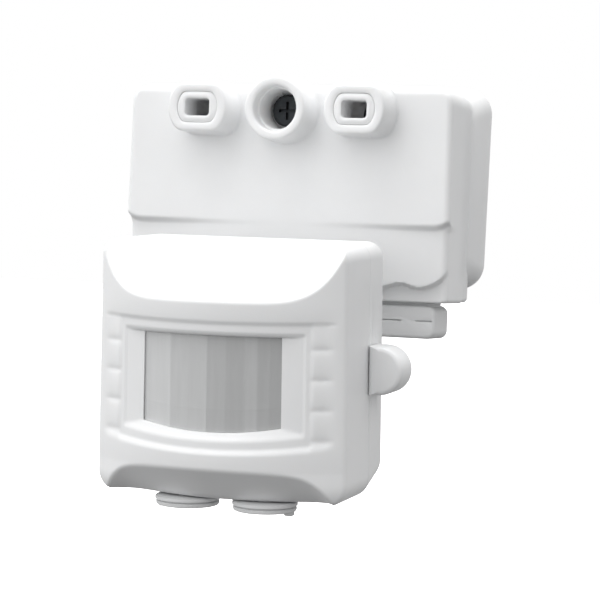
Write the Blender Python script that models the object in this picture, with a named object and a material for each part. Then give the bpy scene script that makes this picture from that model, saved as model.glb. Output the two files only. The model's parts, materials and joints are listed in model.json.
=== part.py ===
"""Motion sensor with a wall box: a passive infrared head on a swivel arm.

Frame: x to the right, +y towards the wall, +z up. The origin is the centre of the wall face.
Sizes below are in millimetres; add_object turns them into metres.
The head is drawn square to its own frame, whose origin is the tilt axis.
"""
import bmesh
import bpy
from math import asin, cos, pi, radians, sin, sqrt
from mathutils import Vector

MM = 0.001
GAP = 0.3                      # clearance kept between neighbouring pieces

# Wall box
COVER_W = 98.0
COVER_TOP = 29.4
COVER_BOTTOM = -31.5
COVER_FRONT = -34.0
COVER_REAR = -14.6
COVER_WALL = 2.2
COVER_CORNER = 5.0
FLANGE_W = 106.0
FLANGE_TOP = 30.2
FLANGE_BOTTOM = -27.5
FLANGE_FRONT = -11.5
FLANGE_CORNER = 6.5
BASE_RIM = -13.0
BASE_WALL = 2.2

# Screw bosses on the cover
BOSS_X = 23.8
BOSS_Z = 22.1
BOSS_FRONT = -45.0
CENTRE_BOSS_R = 9.1
CENTRE_BORE_R = 6.5
CENTRE_STEP_R = 5.7
SIDE_BOSS_R = 8.7
SIDE_BOSS_HALF = 6.65
INSERT_R = 5.8
INSERT_HALF = 4.1
SLOT_W = 7.4
SLOT_H = 5.0
TUBE_END = -20.0

# Cable glands under the box
GLAND_X = 33.4
GLAND_Y = -22.0
GLAND_W = 23.6
GLAND_D = 14.0
GLAND_TOP = -32.4
GLAND_BOTTOM = -41.8
GLAND_NECK = (12.0, 9.6)
GLAND_BORE_R = 3.2

# Pan joint and swivel arm
PAN_Y = -24.0
SPIGOT_R = 5.2
SPIGOT_BORE_R = 3.1
PAN_NUT_R = 7.4
SPIGOT_TOP = -24.5
COLLAR_R = 10.5
COLLAR_TOP = -33.0
COLLAR_BOTTOM = -37.5
ARM_HALF_W = 6.0
KNUCKLE_R = 6.0
KNUCKLE_HALF = 6.5

# Tilt axis and the head's rest angle, facing slightly down
TILT_Y = -54.5
TILT_Z = -49.8
REST_PITCH = 3.5

# Head, in its own frame
HEAD_W = 72.0
HEAD_TOP = 34.6
HEAD_BOTTOM = -35.4
HEAD_CORNER = 4.5
HEAD_REAR = 9.5
HEAD_SPLIT = -4.6
REAR_SPLIT = -3.2
HEAD_WALL = 2.2
FRONT_RADIUS = 62.0
FRONT_APEX = -34.5
SIDE_FRONT = -21.8
FACE_HALF = 34.8
WINDOW_HALF = 19.9
WINDOW_TOP = 10.0
WINDOW_BOTTOM = -15.4
RECESS_HALF = 31.0
RECESS_TOP = 13.6
RECESS_BOTTOM = -22.2
RECESS_DEPTH = 1.2
VISOR_EDGE = (-34.5, 18.4)     # y and z where the visor's slope meets the front
VISOR_SLOPE = 0.85             # rise of the slope for each unit to the rear
POST_X = 29.0
POST_Z = (27.4, -28.2)
POCKET_HALF = 8.2
POCKET_FRONT = -7.3
POCKET_TOP = 20.0
POCKET_BOTTOM = -8.5
POCKET_WALL = 1.5
BOLT_R = 2.0
BOLT_BORE_R = 2.35
SENSOR_Z = -2.75

# Adjustment knobs under the head
KNOB_X = 11.4
KNOB_Y = -17.5
KNOB_R = 9.0
KNOB_H = 3.4
STEM_R = 2.6

# Circuit board
BOARD_FACE = -12.4
BOARD_T = 1.6
BOARD_HALF = 23.5
BOARD_Z = (-28.0, 22.0)


def clear_scene():
    for obj in list(bpy.data.objects):
        bpy.data.objects.remove(obj, do_unlink=True)


def material(name, color, roughness, metallic=0.0):
    mat = bpy.data.materials.get(name)
    if mat is None:
        mat = bpy.data.materials.new(name)
        mat.use_nodes = True
        shader = mat.node_tree.nodes["Principled BSDF"]
        shader.inputs["Base Color"].default_value = (*color, 1.0)
        shader.inputs["Roughness"].default_value = roughness
        shader.inputs["Metallic"].default_value = metallic
        mat.diffuse_color = (*color, 1.0)
    return mat


def pivot(name, place, parent=None, pitch=0.0):
    """An empty on a joint's axis."""
    empty = bpy.data.objects.new(name, None)
    empty.location = Vector(place) * MM
    empty.rotation_euler.x = radians(pitch)
    empty.parent = parent
    bpy.context.scene.collection.objects.link(empty)
    return empty


def add_object(name, bm, mat=None, parent=None, origin=(0, 0, 0)):
    """Turn a bmesh in millimetres into an object, with its origin at the given place."""
    bmesh.ops.recalc_face_normals(bm, faces=bm.faces)
    for vert in bm.verts:
        vert.co = (vert.co - Vector(origin)) * MM
    mesh = bpy.data.meshes.new(name)
    bm.to_mesh(mesh)
    bm.free()
    obj = bpy.data.objects.new(name, mesh)
    obj.location = Vector(origin) * MM
    if mat is not None:
        mesh.materials.append(mat)
    if parent is not None:
        obj.parent = parent
        if parent.rotation_euler.x == 0.0:
            obj.location = Vector(origin) * MM - parent.location
    bpy.context.scene.collection.objects.link(obj)
    return obj


def smooth(obj, angle=35.0):
    obj.data.shade_smooth()
    obj.data.set_sharp_from_angle(angle=radians(angle))
    return obj


def combine(obj, operation, tools):
    """Union, cut or intersect an object with tool shapes, which aren't pieces themselves."""
    for number, (bm, solver) in enumerate(tools):
        tool = add_object(f"{obj.name}_{operation.lower()}_{number}", bm, parent=obj.parent)
        tool.hide_render = True
        tool.hide_viewport = True
        tool.display_type = "WIRE"
        modifier = obj.modifiers.new(tool.name, "BOOLEAN")
        modifier.operation = operation
        modifier.object = tool
        modifier.solver = solver
    return obj


def exact(*shapes):
    return [(bm, "EXACT") for bm in shapes]


def rounded_rect(low, high, radius, steps=4):
    """Corner points of a rectangle with round corners, counterclockwise."""
    (u0, v0), (u1, v1) = low, high
    corners = ((u1 - radius, v1 - radius, 0), (u0 + radius, v1 - radius, 90),
               (u0 + radius, v0 + radius, 180), (u1 - radius, v0 + radius, 270))
    points = []
    for cu, cv, start in corners:
        for i in range(steps + 1):
            angle = radians(start + 90 * i / steps)
            points.append((cu + radius * cos(angle), cv + radius * sin(angle)))
    return points


def flat_circle(radius, half, centre, steps=7):
    """A circle cut flat at the top and bottom."""
    limit = asin(half / radius)
    points = []
    for side in (0, pi):
        for i in range(steps + 1):
            angle = side - limit + 2 * limit * i / steps
            points.append((centre[0] + radius * cos(angle), centre[1] + radius * sin(angle)))
    return points


def circle(radius, centre=(0, 0), segments=24, turn=0.0):
    points = []
    for i in range(segments):
        angle = 2 * pi * i / segments + turn
        points.append((centre[0] + radius * cos(angle), centre[1] + radius * sin(angle)))
    return points


AXES = {"x": lambda u, v, w: Vector((w, u, v)),
        "y": lambda u, v, w: Vector((u, w, v)),
        "z": lambda u, v, w: Vector((u, v, w))}


def loft(rings, axis):
    """A closed body through rings of (outline, height); the first and last ring are capped."""
    place = AXES[axis]
    bm = bmesh.new()
    rows = [[bm.verts.new(place(u, v, height)) for u, v in outline] for outline, height in rings]
    count = len(rows[0])
    for low, high in zip(rows, rows[1:]):
        for i in range(count):
            j = (i + 1) % count
            bm.faces.new((low[i], low[j], high[j], high[i]))
    bm.faces.new(rows[0])
    bm.faces.new(list(reversed(rows[-1])))
    return bm


def prism(outline, low, high, axis):
    return loft([(outline, low), (outline, high)], axis)


def rod(radius, low, high, axis, centre=(0, 0), segments=24):
    return prism(circle(radius, centre, segments), low, high, axis)


def block(low, high):
    outline = [(low[0], low[1]), (high[0], low[1]), (high[0], high[1]), (low[0], high[1])]
    return prism(outline, low[2], high[2], "z")


def ring(outer, inner, low, high, axis):
    """A flat ring between two outlines with the same number of points."""
    place = AXES[axis]
    bm = bmesh.new()
    rows = []
    for outline, height in ((outer, low), (outer, high), (inner, high), (inner, low)):
        rows.append([bm.verts.new(place(u, v, height)) for u, v in outline])
    count = len(outer)
    for k in range(4):
        this, following = rows[k], rows[(k + 1) % 4]
        for i in range(count):
            j = (i + 1) % count
            bm.faces.new((this[i], this[j], following[j], following[i]))
    return bm


def turned(profile, axis, centre=(0, 0), segments=24):
    """A solid turned from (radius, height) points; no radius may be zero."""
    rings = [(circle(radius, centre, segments), height) for radius, height in profile]
    return loft(rings, axis)


def cover_outline(inset):
    radius = max(COVER_CORNER - inset, 1.5)
    half = COVER_W / 2 - inset
    return rounded_rect((-half, COVER_BOTTOM + inset), (half, COVER_TOP - inset), radius)


def flange_outline(inset):
    half = FLANGE_W / 2 - inset
    return rounded_rect((-half, FLANGE_BOTTOM + inset), (half, FLANGE_TOP - inset), FLANGE_CORNER - inset)


def head_outline(inset):
    half = HEAD_W / 2 - inset
    radius = max(HEAD_CORNER - inset, 1.0)
    return rounded_rect((-half, HEAD_BOTTOM + inset), (half, HEAD_TOP - inset), radius)


def slot_outline(x, grow=0.0, z=BOSS_Z):
    half_w = SLOT_W / 2 + grow
    half_h = SLOT_H / 2 + grow
    return rounded_rect((x - half_w, z - half_h), (x + half_w, z + half_h), 1.0 + grow, steps=3)


# ---------------------------------------------------------------- wall box

def rear_base(mat):
    """Back plate with its rounded flange, the cavity, the screw standoffs and the cover pillar."""
    flange = loft([(flange_outline(1.6), 0.0), (flange_outline(0.4), -0.6), (flange_outline(0.0), -2.0),
                   (flange_outline(0.0), FLANGE_FRONT + 2.5), (flange_outline(0.8), FLANGE_FRONT + 0.7),
                   (flange_outline(2.6), FLANGE_FRONT)], "y")
    base = add_object("rear_base", flange, mat)
    neck = prism(cover_outline(1.0), FLANGE_FRONT + 3.0, BASE_RIM, "y")
    combine(base, "UNION", exact(neck))
    combine(base, "DIFFERENCE", exact(prism(flange_outline(5.2), -BASE_WALL, BASE_RIM - 1.0, "y")))
    standoffs = [prism(flat_circle(6.2, 4.6, (side * BOSS_X, BOSS_Z)), -BASE_WALL + 0.5,
                       TUBE_END + GAP, "y") for side in (-1, 1)]
    pillar = rod(4.0, -BASE_WALL + 0.5, -28.2, "y", (0, BOSS_Z))
    anchors = [rod(3.2, -BASE_WALL + 0.5, -5.7, "y", (x, CLAMP_Z), 16) for x in CLAMP_X]
    combine(base, "UNION", exact(*standoffs, pillar, *anchors))
    slots = [prism(slot_outline(side * BOSS_X, 0.1), 1.0, TUBE_END - 1.0, "y") for side in (-1, 1)]
    screw_bore = rod(1.9, -8.0, -29.0, "y", (0, BOSS_Z), 16)
    anchor_bores = [rod(1.5, -2.6, -6.0, "y", (x, CLAMP_Z), 12) for x in CLAMP_X]
    combine(base, "DIFFERENCE", exact(*slots, screw_bore, *anchor_bores))
    return smooth(base)


CLAMP_X = (26.7, 40.1)
CLAMP_Z = -18.5


def front_cover(mat):
    """Hollow cover with the three screw bosses and the openings in its floor."""
    inner = COVER_WALL
    shell = loft([(cover_outline(2.6), COVER_FRONT), (cover_outline(0.8), COVER_FRONT + 0.7),
                  (cover_outline(0.0), COVER_FRONT + 2.4), (cover_outline(0.0), COVER_REAR),
                  (cover_outline(inner), COVER_REAR), (cover_outline(inner), COVER_FRONT + inner)], "y")
    cover = add_object("front_cover", shell, mat)
    tubes = [rod(CENTRE_BOSS_R, BOSS_FRONT, COVER_FRONT + 1.0, "y", (0, BOSS_Z), 32),
             rod(7.2, COVER_FRONT + 0.5, -28.5, "y", (0, BOSS_Z), 32)]
    for side in (-1, 1):
        centre = (side * BOSS_X, BOSS_Z)
        tubes.append(prism(flat_circle(SIDE_BOSS_R, SIDE_BOSS_HALF, centre), BOSS_FRONT, COVER_FRONT + 1.0, "y"))
        tubes.append(prism(flat_circle(6.2, 5.6, centre), COVER_FRONT + 0.5, TUBE_END, "y"))
    combine(cover, "UNION", exact(*tubes))
    cuts = [rod(CENTRE_BORE_R, BOSS_FRONT - 1.0, BOSS_FRONT + 3.5, "y", (0, BOSS_Z), 32),
            rod(CENTRE_STEP_R, BOSS_FRONT + 3.0, -31.0, "y", (0, BOSS_Z), 32),
            rod(2.3, -32.0, -28.0, "y", (0, BOSS_Z), 16),
            rod(SPIGOT_R + 0.5, COVER_BOTTOM - 1.0, COVER_BOTTOM + inner + 1.0, "z", (0, PAN_Y))]
    for side in (-1, 1):
        centre = (side * BOSS_X, BOSS_Z)
        cuts.append(prism(flat_circle(INSERT_R + 0.4, INSERT_HALF + 0.4, centre), BOSS_FRONT - 1.0, -35.7, "y"))
        cuts.append(prism(slot_outline(side * BOSS_X, 0.1), -36.0, TUBE_END + 1.0, "y"))
        cuts.append(prism(gland_neck_outline(side, 0.3), COVER_BOTTOM - 1.0, COVER_BOTTOM + inner + 1.0, "z"))
    combine(cover, "DIFFERENCE", exact(*cuts))
    return smooth(cover)


def gland_neck_outline(side, grow):
    half_w = GLAND_NECK[0] / 2 + grow
    half_d = GLAND_NECK[1] / 2 + grow
    x = side * GLAND_X
    return rounded_rect((x - half_w, GLAND_Y - half_d), (x + half_w, GLAND_Y + half_d), 1.5 + grow, steps=3)


def box_gasket(mat):
    return add_object("box_gasket", ring(cover_outline(0.4), cover_outline(1.8), COVER_REAR + GAP,
                                         BASE_RIM - GAP, "y"), mat)


def screw_insert(name, side, mat):
    centre = (side * BOSS_X, BOSS_Z)
    rings = [(flat_circle(INSERT_R - 0.5, INSERT_HALF - 0.5, centre), BOSS_FRONT + 0.2),
             (flat_circle(INSERT_R, INSERT_HALF, centre), BOSS_FRONT + 0.7),
             (flat_circle(INSERT_R, INSERT_HALF, centre), -36.0)]
    insert = add_object(name, loft(rings, "y"), mat)
    combine(insert, "DIFFERENCE", exact(prism(slot_outline(side * BOSS_X), BOSS_FRONT - 1.0, -35.0, "y")))
    return smooth(insert)


def cover_screw(mat):
    profile = [(4.2, -34.0), (4.7, -33.5), (4.7, -31.3), (1.6, -31.3), (1.6, -10.0), (0.9, -8.6)]
    screw = add_object("cover_screw", turned(profile, "y", (0, BOSS_Z), 20), mat)
    cross = [block((-2.6, -34.5, BOSS_Z - 0.45), (2.6, -32.6, BOSS_Z + 0.45)),
             block((-0.45, -34.5, BOSS_Z - 2.6), (0.45, -32.6, BOSS_Z + 2.6))]
    combine(screw, "DIFFERENCE", exact(*cross))
    return smooth(screw)


def cable_gland(name, side, mat):
    """Rounded block under the box, with a neck that passes up through the floor."""
    x = side * GLAND_X
    half = GLAND_W / 2
    body = prism(rounded_rect((x - half, GLAND_BOTTOM), (x + half, GLAND_TOP), 2.2),
                 GLAND_Y - GLAND_D / 2, GLAND_Y + GLAND_D / 2, "y")
    gland = add_object(name, body, mat)
    neck = prism(gland_neck_outline(side, 0.0), GLAND_TOP - 1.0, COVER_BOTTOM + 4.5, "z")
    combine(gland, "UNION", exact(neck))
    bore = rod(GLAND_BORE_R, GLAND_BOTTOM - 1.0, COVER_BOTTOM + 5.5, "z", (x, GLAND_Y), 20)
    combine(gland, "DIFFERENCE", exact(bore))
    return smooth(gland)


def terminal_parts(block_mat, metal):
    """Three-pole terminal block on the back plate, with its screws."""
    body = add_object("terminal_block", block((-15.0, -12.5, -8.0), (15.0, -BASE_WALL - GAP, 5.0)), block_mat)
    wells = [rod(2.3, -13.0, -8.5, "y", (x, -1.5), 16) for x in (-10.0, 0.0, 10.0)]
    wire_holes = [rod(1.8, -8.5, 0.0, "z", (x, -6.0), 12) for x in (-10.0, 0.0, 10.0)]
    combine(body, "DIFFERENCE", exact(*wells, *wire_holes))
    for number, x in enumerate((-10.0, 0.0, 10.0), 1):
        screw = add_object(f"terminal_screw_{number}", rod(1.9, -12.0, -8.9, "y", (x, -1.5), 14), metal)
        slot = block((x - 2.5, -12.5, -1.9), (x + 2.5, -11.2, -1.1))
        combine(screw, "DIFFERENCE", exact(slot))
        smooth(screw)


def cable_clamp(bar_mat, metal):
    """Bar across the cable, with a screw at each end into the back plate."""
    low = (CLAMP_X[0] - 4.0, -10.0, CLAMP_Z - 2.6)
    high = (CLAMP_X[1] + 4.0, -6.0, CLAMP_Z + 2.6)
    bar = add_object("cable_clamp", block(low, high), bar_mat)
    bores = [rod(1.8, -11.0, -5.0, "y", (x, CLAMP_Z), 14) for x in CLAMP_X]
    combine(bar, "DIFFERENCE", exact(*bores))
    for number, x in enumerate(CLAMP_X, 1):
        profile = [(2.3, -12.4), (2.8, -11.9), (2.8, -10.3), (1.3, -10.3), (1.3, -3.0)]
        smooth(add_object(f"clamp_screw_{number}", turned(profile, "y", (x, CLAMP_Z), 14), metal))


# ---------------------------------------------------------------- swivel

ARM_PATH = ((-24.0, -35.4, 2.0), (-38.0, -38.4, 3.6), (-47.0, -42.6, 3.4), (-54.5, -49.8, 3.0))


def arm_beam():
    """Beam from the collar forward and down to the knuckle; each point is y, z and half depth."""
    bm = bmesh.new()
    rows = []
    for number, (y, z, half) in enumerate(ARM_PATH):
        before = ARM_PATH[max(number - 1, 0)]
        after = ARM_PATH[min(number + 1, len(ARM_PATH) - 1)]
        run = Vector((0, after[0] - before[0], after[1] - before[1])).normalized()
        up = Vector((0, -run.z, run.y))
        centre = Vector((0, y, z))
        corner = 1.2
        wide = ARM_HALF_W
        section = ((wide, half - corner), (wide - corner, half), (corner - wide, half), (-wide, half - corner),
                   (-wide, corner - half), (corner - wide, -half), (wide - corner, -half), (wide, corner - half))
        rows.append([bm.verts.new(centre + Vector((u, 0, 0)) + up * v) for u, v in section])
    for low, high in zip(rows, rows[1:]):
        for i in range(8):
            j = (i + 1) % 8
            bm.faces.new((low[i], low[j], high[j], high[i]))
    bm.faces.new(rows[0])
    bm.faces.new(list(reversed(rows[-1])))
    return bm


def swivel_arm(mat, parent):
    """Collar and hollow spigot of the pan joint, the beam, and the knuckle of the tilt joint."""
    collar = turned([(COLLAR_R - 1.0, COLLAR_BOTTOM), (COLLAR_R, COLLAR_BOTTOM + 1.0),
                     (COLLAR_R, COLLAR_TOP)], "z", (0, PAN_Y), 32)
    arm = add_object("swivel_arm", collar, mat, parent)
    spigot = rod(SPIGOT_R, COLLAR_TOP - 2.0, SPIGOT_TOP, "z", (0, PAN_Y), 24)
    knuckle = rod(KNUCKLE_R, -KNUCKLE_HALF, KNUCKLE_HALF, "x", (TILT_Y, TILT_Z), 24)
    union_shapes = exact(spigot, arm_beam(), knuckle)
    combine(arm, "UNION", union_shapes)
    cuts = exact(rod(SPIGOT_BORE_R, COLLAR_TOP - 1.5, SPIGOT_TOP + 1.0, "z", (0, PAN_Y), 20),
                 rod(BOLT_BORE_R, -20.0, 20.0, "x", (TILT_Y, TILT_Z), 20))
    combine(arm, "DIFFERENCE", cuts)
    return smooth(arm)


def pan_parts(seal_mat, nut_mat, parent):
    seal = ring(circle(9.5, (0, PAN_Y), 32), circle(SPIGOT_R + 0.4, (0, PAN_Y), 32),
                COLLAR_TOP + GAP, COVER_BOTTOM - GAP, "z")
    smooth(add_object("pan_seal", seal, seal_mat, parent))
    low = COVER_BOTTOM + COVER_WALL + GAP
    nut = ring(circle(PAN_NUT_R, (0, PAN_Y), 24), circle(SPIGOT_R + GAP, (0, PAN_Y), 24), low, low + 3.8, "z")
    smooth(add_object("pan_nut", nut, nut_mat, parent))


# ---------------------------------------------------------------- head

def arc_depth(x, radius):
    """y of the front's curve at x, for the outer radius or one inside it."""
    centre = FRONT_APEX + FRONT_RADIUS
    return centre - sqrt(radius ** 2 - x ** 2)


def front_plan(inset, rear):
    """Plan outline of the head's front: straight sides, round corners and the curved front."""
    half = HEAD_W / 2 - inset
    face = FACE_HALF - inset
    radius = FRONT_RADIUS - inset
    points = [(half, rear), (half, SIDE_FRONT)]
    corner_y = arc_depth(face, radius)
    for i in range(1, 4):
        angle = radians(90 * i / 4)
        points.append((face + (half - face) * cos(angle), SIDE_FRONT + (corner_y - SIDE_FRONT) * sin(angle)))
    steps = 16
    for i in range(steps + 1):
        x = face - 2 * face * i / steps
        points.append((x, arc_depth(x, radius)))
    for i in range(3, 0, -1):
        angle = radians(90 * i / 4)
        points.append((-face - (half - face) * cos(angle), SIDE_FRONT + (corner_y - SIDE_FRONT) * sin(angle)))
    points += [(-half, SIDE_FRONT), (-half, rear)]
    return points


def visor_wedge(inset):
    """The block above the visor's slope; an inset moves the slope into the head."""
    y0, z0 = VISOR_EDGE
    drop = inset * sqrt(1 + VISOR_SLOPE ** 2)
    outline = [(y0 - 8.0, z0 - 8.0 * VISOR_SLOPE - drop), (y0 + 32.0, z0 + 32.0 * VISOR_SLOPE - drop),
               (y0 + 32.0, z0 + 50.0), (y0 - 8.0, z0 + 50.0)]
    return prism(outline, -45.0, 45.0, "x")


def chin_wedge(inset):
    """The block below the sloping chin under the lower lip."""
    outline = [(-46.0, -25.6 + inset), (-34.6, -25.6 + inset), (-24.6 + inset, -36.0 + inset),
               (-24.6 + inset, -45.0), (-46.0, -45.0)]
    return prism(outline, -45.0, 45.0, "x")


def arc_band(half, outer_radius, inner_radius, low, high, steps=16):
    """A curved plate that follows the head's front."""
    outline = []
    for i in range(steps + 1):
        x = half - 2 * half * i / steps
        outline.append((x, arc_depth(x, outer_radius)))
    for i in range(steps + 1):
        x = -half + 2 * half * i / steps
        outline.append((x, arc_depth(x, inner_radius)))
    return prism(outline, low, high, "z")


def front_shell(mat, parent):
    """Curved front with the sloping visor, the recessed window frame and the screw posts."""
    shell = add_object("head_front_shell", prism(front_plan(0.0, HEAD_SPLIT), HEAD_BOTTOM - 2.0,
                                                 HEAD_TOP + 2.0, "z"), mat, parent)
    combine(shell, "INTERSECT", exact(prism(head_outline(0.0), -60.0, 10.0, "y")))
    hollow = add_object("head_front_hollow", prism(front_plan(HEAD_WALL, HEAD_SPLIT + 5.0),
                                                   HEAD_BOTTOM + HEAD_WALL, HEAD_TOP - HEAD_WALL, "z"), None, parent)
    hollow.hide_render = True
    hollow.hide_viewport = True
    hollow.display_type = "WIRE"
    combine(hollow, "DIFFERENCE", exact(visor_wedge(HEAD_WALL), chin_wedge(HEAD_WALL)))
    cut = shell.modifiers.new("hollow", "BOOLEAN")
    cut.operation = "DIFFERENCE"
    cut.solver = "EXACT"
    cut.object = hollow
    posts = []
    for side in (-1, 1):
        posts.append(rod(3.2, HEAD_SPLIT - 0.4, -18.5, "y", (side * POST_X, POST_Z[0]), 16))
        posts.append(rod(3.2, HEAD_SPLIT - 0.4, -27.0, "y", (side * POST_X, POST_Z[1]), 16))
    combine(shell, "UNION", exact(*posts))
    cuts = [visor_wedge(0.0), chin_wedge(0.0),
            arc_band(RECESS_HALF, FRONT_RADIUS + 2.0, FRONT_RADIUS - RECESS_DEPTH, RECESS_BOTTOM, RECESS_TOP),
            block((-WINDOW_HALF, -40.0, WINDOW_BOTTOM), (WINDOW_HALF, -20.0, WINDOW_TOP))]
    for side in (-1, 1):
        for z in POST_Z:
            cuts.append(rod(1.7, HEAD_SPLIT + 1.0, -13.5, "y", (side * POST_X, z), 12))
        cuts.append(rod(STEM_R + 0.6, HEAD_BOTTOM - 1.0, HEAD_BOTTOM + 4.0, "z", (side * KNOB_X, KNOB_Y), 20))
    combine(shell, "DIFFERENCE", exact(*cuts))
    return smooth(shell)


def rear_shell(mat, parent):
    """Rear half of the head, with the pocket for the swivel knuckle and the tunnel for the bolt."""
    body = loft([(head_outline(3.6), HEAD_REAR), (head_outline(1.1), HEAD_REAR - 0.9),
                 (head_outline(0.0), HEAD_REAR - 3.4), (head_outline(0.0), REAR_SPLIT),
                 (head_outline(HEAD_WALL), REAR_SPLIT), (head_outline(HEAD_WALL), HEAD_REAR - HEAD_WALL)], "y")
    shell = add_object("head_rear_shell", body, mat, parent)
    wall = POCKET_WALL
    half = POCKET_HALF + wall
    pocket = block((-half, POCKET_FRONT - wall, POCKET_BOTTOM - wall), (half, HEAD_REAR - 1.5, POCKET_TOP + wall))
    tunnel = rod(4.4, POCKET_HALF + 0.8, HEAD_W / 2 - 2.5, "x", (0, 0))
    tunnel_end = rod(3.1, HEAD_W / 2 - 4.0, HEAD_W / 2 - 1.0, "x", (0, 0), 20)
    nut_seat = rod(6.4, -14.2, -POCKET_HALF - 0.7, "x", (0, 0))
    bosses = []
    for side in (-1, 1):
        for z in POST_Z:
            bosses.append(rod(4.0, REAR_SPLIT + 0.4, HEAD_REAR - 1.5, "y", (side * POST_X, z), 16))
    combine(shell, "UNION", exact(pocket, tunnel, tunnel_end, nut_seat, *bosses))
    cuts = [block((-POCKET_HALF, POCKET_FRONT, POCKET_BOTTOM), (POCKET_HALF, HEAD_REAR + 2.0, POCKET_TOP)),
            rod(BOLT_BORE_R, -16.0, HEAD_W / 2 + 2.0, "x", (0, 0), 20),
            prism(circle(4.5, (0, 0), 6), -15.0, -10.2, "x")]
    for side in (-1, 1):
        for z in POST_Z:
            cuts.append(rod(3.2, HEAD_REAR - 3.8, HEAD_REAR + 1.0, "y", (side * POST_X, z), 16))
            cuts.append(rod(1.8, REAR_SPLIT - 1.0, HEAD_REAR - 3.3, "y", (side * POST_X, z), 12))
    combine(shell, "DIFFERENCE", exact(*cuts))
    return smooth(shell)


def head_gasket(mat, parent):
    return add_object("head_gasket", ring(head_outline(0.5), head_outline(1.9), HEAD_SPLIT + GAP,
                                          REAR_SPLIT - GAP, "y"), mat, parent)


def lens(mat, parent):
    radius = FRONT_RADIUS - HEAD_WALL - GAP
    plate = arc_band(WINDOW_HALF + 2.6, radius, radius - 1.0, WINDOW_BOTTOM - 2.2, WINDOW_TOP + 2.3)
    return smooth(add_object("fresnel_lens", plate, mat, parent), 20)


def lens_retainer(mat, parent):
    radius = FRONT_RADIUS - HEAD_WALL - 1.0 - 2 * GAP
    plate = arc_band(WINDOW_HALF + 5.6, radius, radius - 1.2, WINDOW_BOTTOM - 4.4, WINDOW_TOP + 4.6)
    frame = add_object("lens_retainer", plate, mat, parent)
    opening = block((-WINDOW_HALF, -40.0, WINDOW_BOTTOM), (WINDOW_HALF, -15.0, WINDOW_TOP))
    return combine(frame, "DIFFERENCE", exact(opening))


def head_screws(mat, parent):
    number = 0
    for side in (-1, 1):
        for z in POST_Z:
            number += 1
            seat = HEAD_REAR - 3.5
            profile = [(1.2, -12.5), (1.4, -11.5), (1.4, seat), (2.8, seat), (2.8, seat + 1.4), (2.3, seat + 2.1)]
            body = turned(profile, "y", (side * POST_X, z), 16)
            screw = add_object(f"head_screw_{number}", body, mat, parent)
            x = side * POST_X
            cross = [block((x - 1.7, seat + 1.0, z - 0.35), (x + 1.7, seat + 3.0, z + 0.35)),
                     block((x - 0.35, seat + 1.0, z - 1.7), (x + 0.35, seat + 3.0, z + 1.7))]
            combine(screw, "DIFFERENCE", exact(*cross))
            smooth(screw)


def tilt_fasteners(knob_mat, metal, washer_mat, head, lock):
    """The clamp bolt through the knuckle, its knob at the side, its nut and the friction washers."""
    smooth(add_object("tilt_bolt", rod(BOLT_R, -14.0, HEAD_W / 2 + 5.2, "x", (0, 0), 20), metal, lock))
    inner = HEAD_W / 2 + GAP
    radius = 6.5
    tip = inner + 9.0 - radius
    outline = [(inner, -radius)]
    for i in range(13):
        angle = radians(-90 + 180 * i / 12)
        outline.append((tip + radius * cos(angle), radius * sin(angle)))
    outline.append((inner, radius))
    knob = add_object("tilt_knob", prism(outline, -3.5, 4.0, "y"), knob_mat, lock)
    bevel = knob.modifiers.new("edges", "BEVEL")
    bevel.width = 0.9 * MM
    bevel.segments = 3
    bevel.limit_method = "ANGLE"
    bevel.angle_limit = radians(50)
    combine(knob, "DIFFERENCE", exact(rod(BOLT_BORE_R, 0.0, HEAD_W / 2 + 5.7, "x", (0, 0), 20)))
    smooth(knob)
    nut = ring(circle(4.1, (0, 0), 6), circle(BOLT_BORE_R, (0, 0), 6), -13.6, -10.5, "x")
    add_object("tilt_nut", nut, metal, head)
    for name, low in (("tilt_washer_left", -POCKET_HALF + GAP), ("tilt_washer_right", KNUCKLE_HALF + GAP)):
        washer = ring(circle(5.6, (0, 0), 24), circle(BOLT_BORE_R, (0, 0), 24), low, low + 1.1, "x")
        smooth(add_object(name, washer, washer_mat, head))


def circuit_board(mat, parent):
    low = (-BOARD_HALF, BOARD_FACE, BOARD_Z[0])
    high = (BOARD_HALF, BOARD_FACE + BOARD_T, BOARD_Z[1])
    return add_object("circuit_board", block(low, high), mat, parent)


def board_parts(mats, parent):
    """Components on the front of the board."""
    face = BOARD_FACE - GAP
    can = turned([(4.9, face), (4.9, face - 0.5), (4.15, face - 0.6), (4.15, face - 3.9),
                  (3.8, face - 4.3)], "y", (0, SENSOR_Z), 24)
    smooth(add_object("pyro_sensor", can, mats["metal"], parent))
    add_object("relay", block((-22.0, face - 10.0, 3.5), (-7.0, face, 21.0)), mats["black"], parent)
    add_object("film_capacitor", block((8.0, face - 8.0, 7.0), (22.0, face, 20.0)), mats["yellow"], parent)
    electrolytic = turned([(4.0, face), (4.0, face - 8.5), (3.6, face - 9.0)], "y", (15.0, -13.0), 20)
    smooth(add_object("electrolytic_capacitor", electrolytic, mats["black"], parent))
    cell = turned([(2.6, face), (2.6, face - 1.6), (2.2, face - 2.0)], "y", (-13.0, -13.0), 16)
    smooth(add_object("light_cell", cell, mats["cell"], parent))
    led = turned([(1.5, face), (1.5, face - 3.4), (1.1, face - 4.3), (0.4, face - 4.8)], "y", (-19.0, -9.0), 14)
    smooth(add_object("status_led", led, mats["led"], parent))
    for name, side in (("time_trimmer", -1), ("lux_trimmer", 1)):
        x = side * KNOB_X
        low = (x - 4.8, KNOB_Y - 4.8, HEAD_BOTTOM + 6.2)
        high = (x + 4.8, face, HEAD_BOTTOM + 11.2)
        trimmer = add_object(name, block(low, high), mats["blue"], parent)
        well = rod(STEM_R + GAP, HEAD_BOTTOM + 5.0, HEAD_BOTTOM + 8.6, "z", (x, KNOB_Y), 16)
        combine(trimmer, "DIFFERENCE", exact(well))


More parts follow.
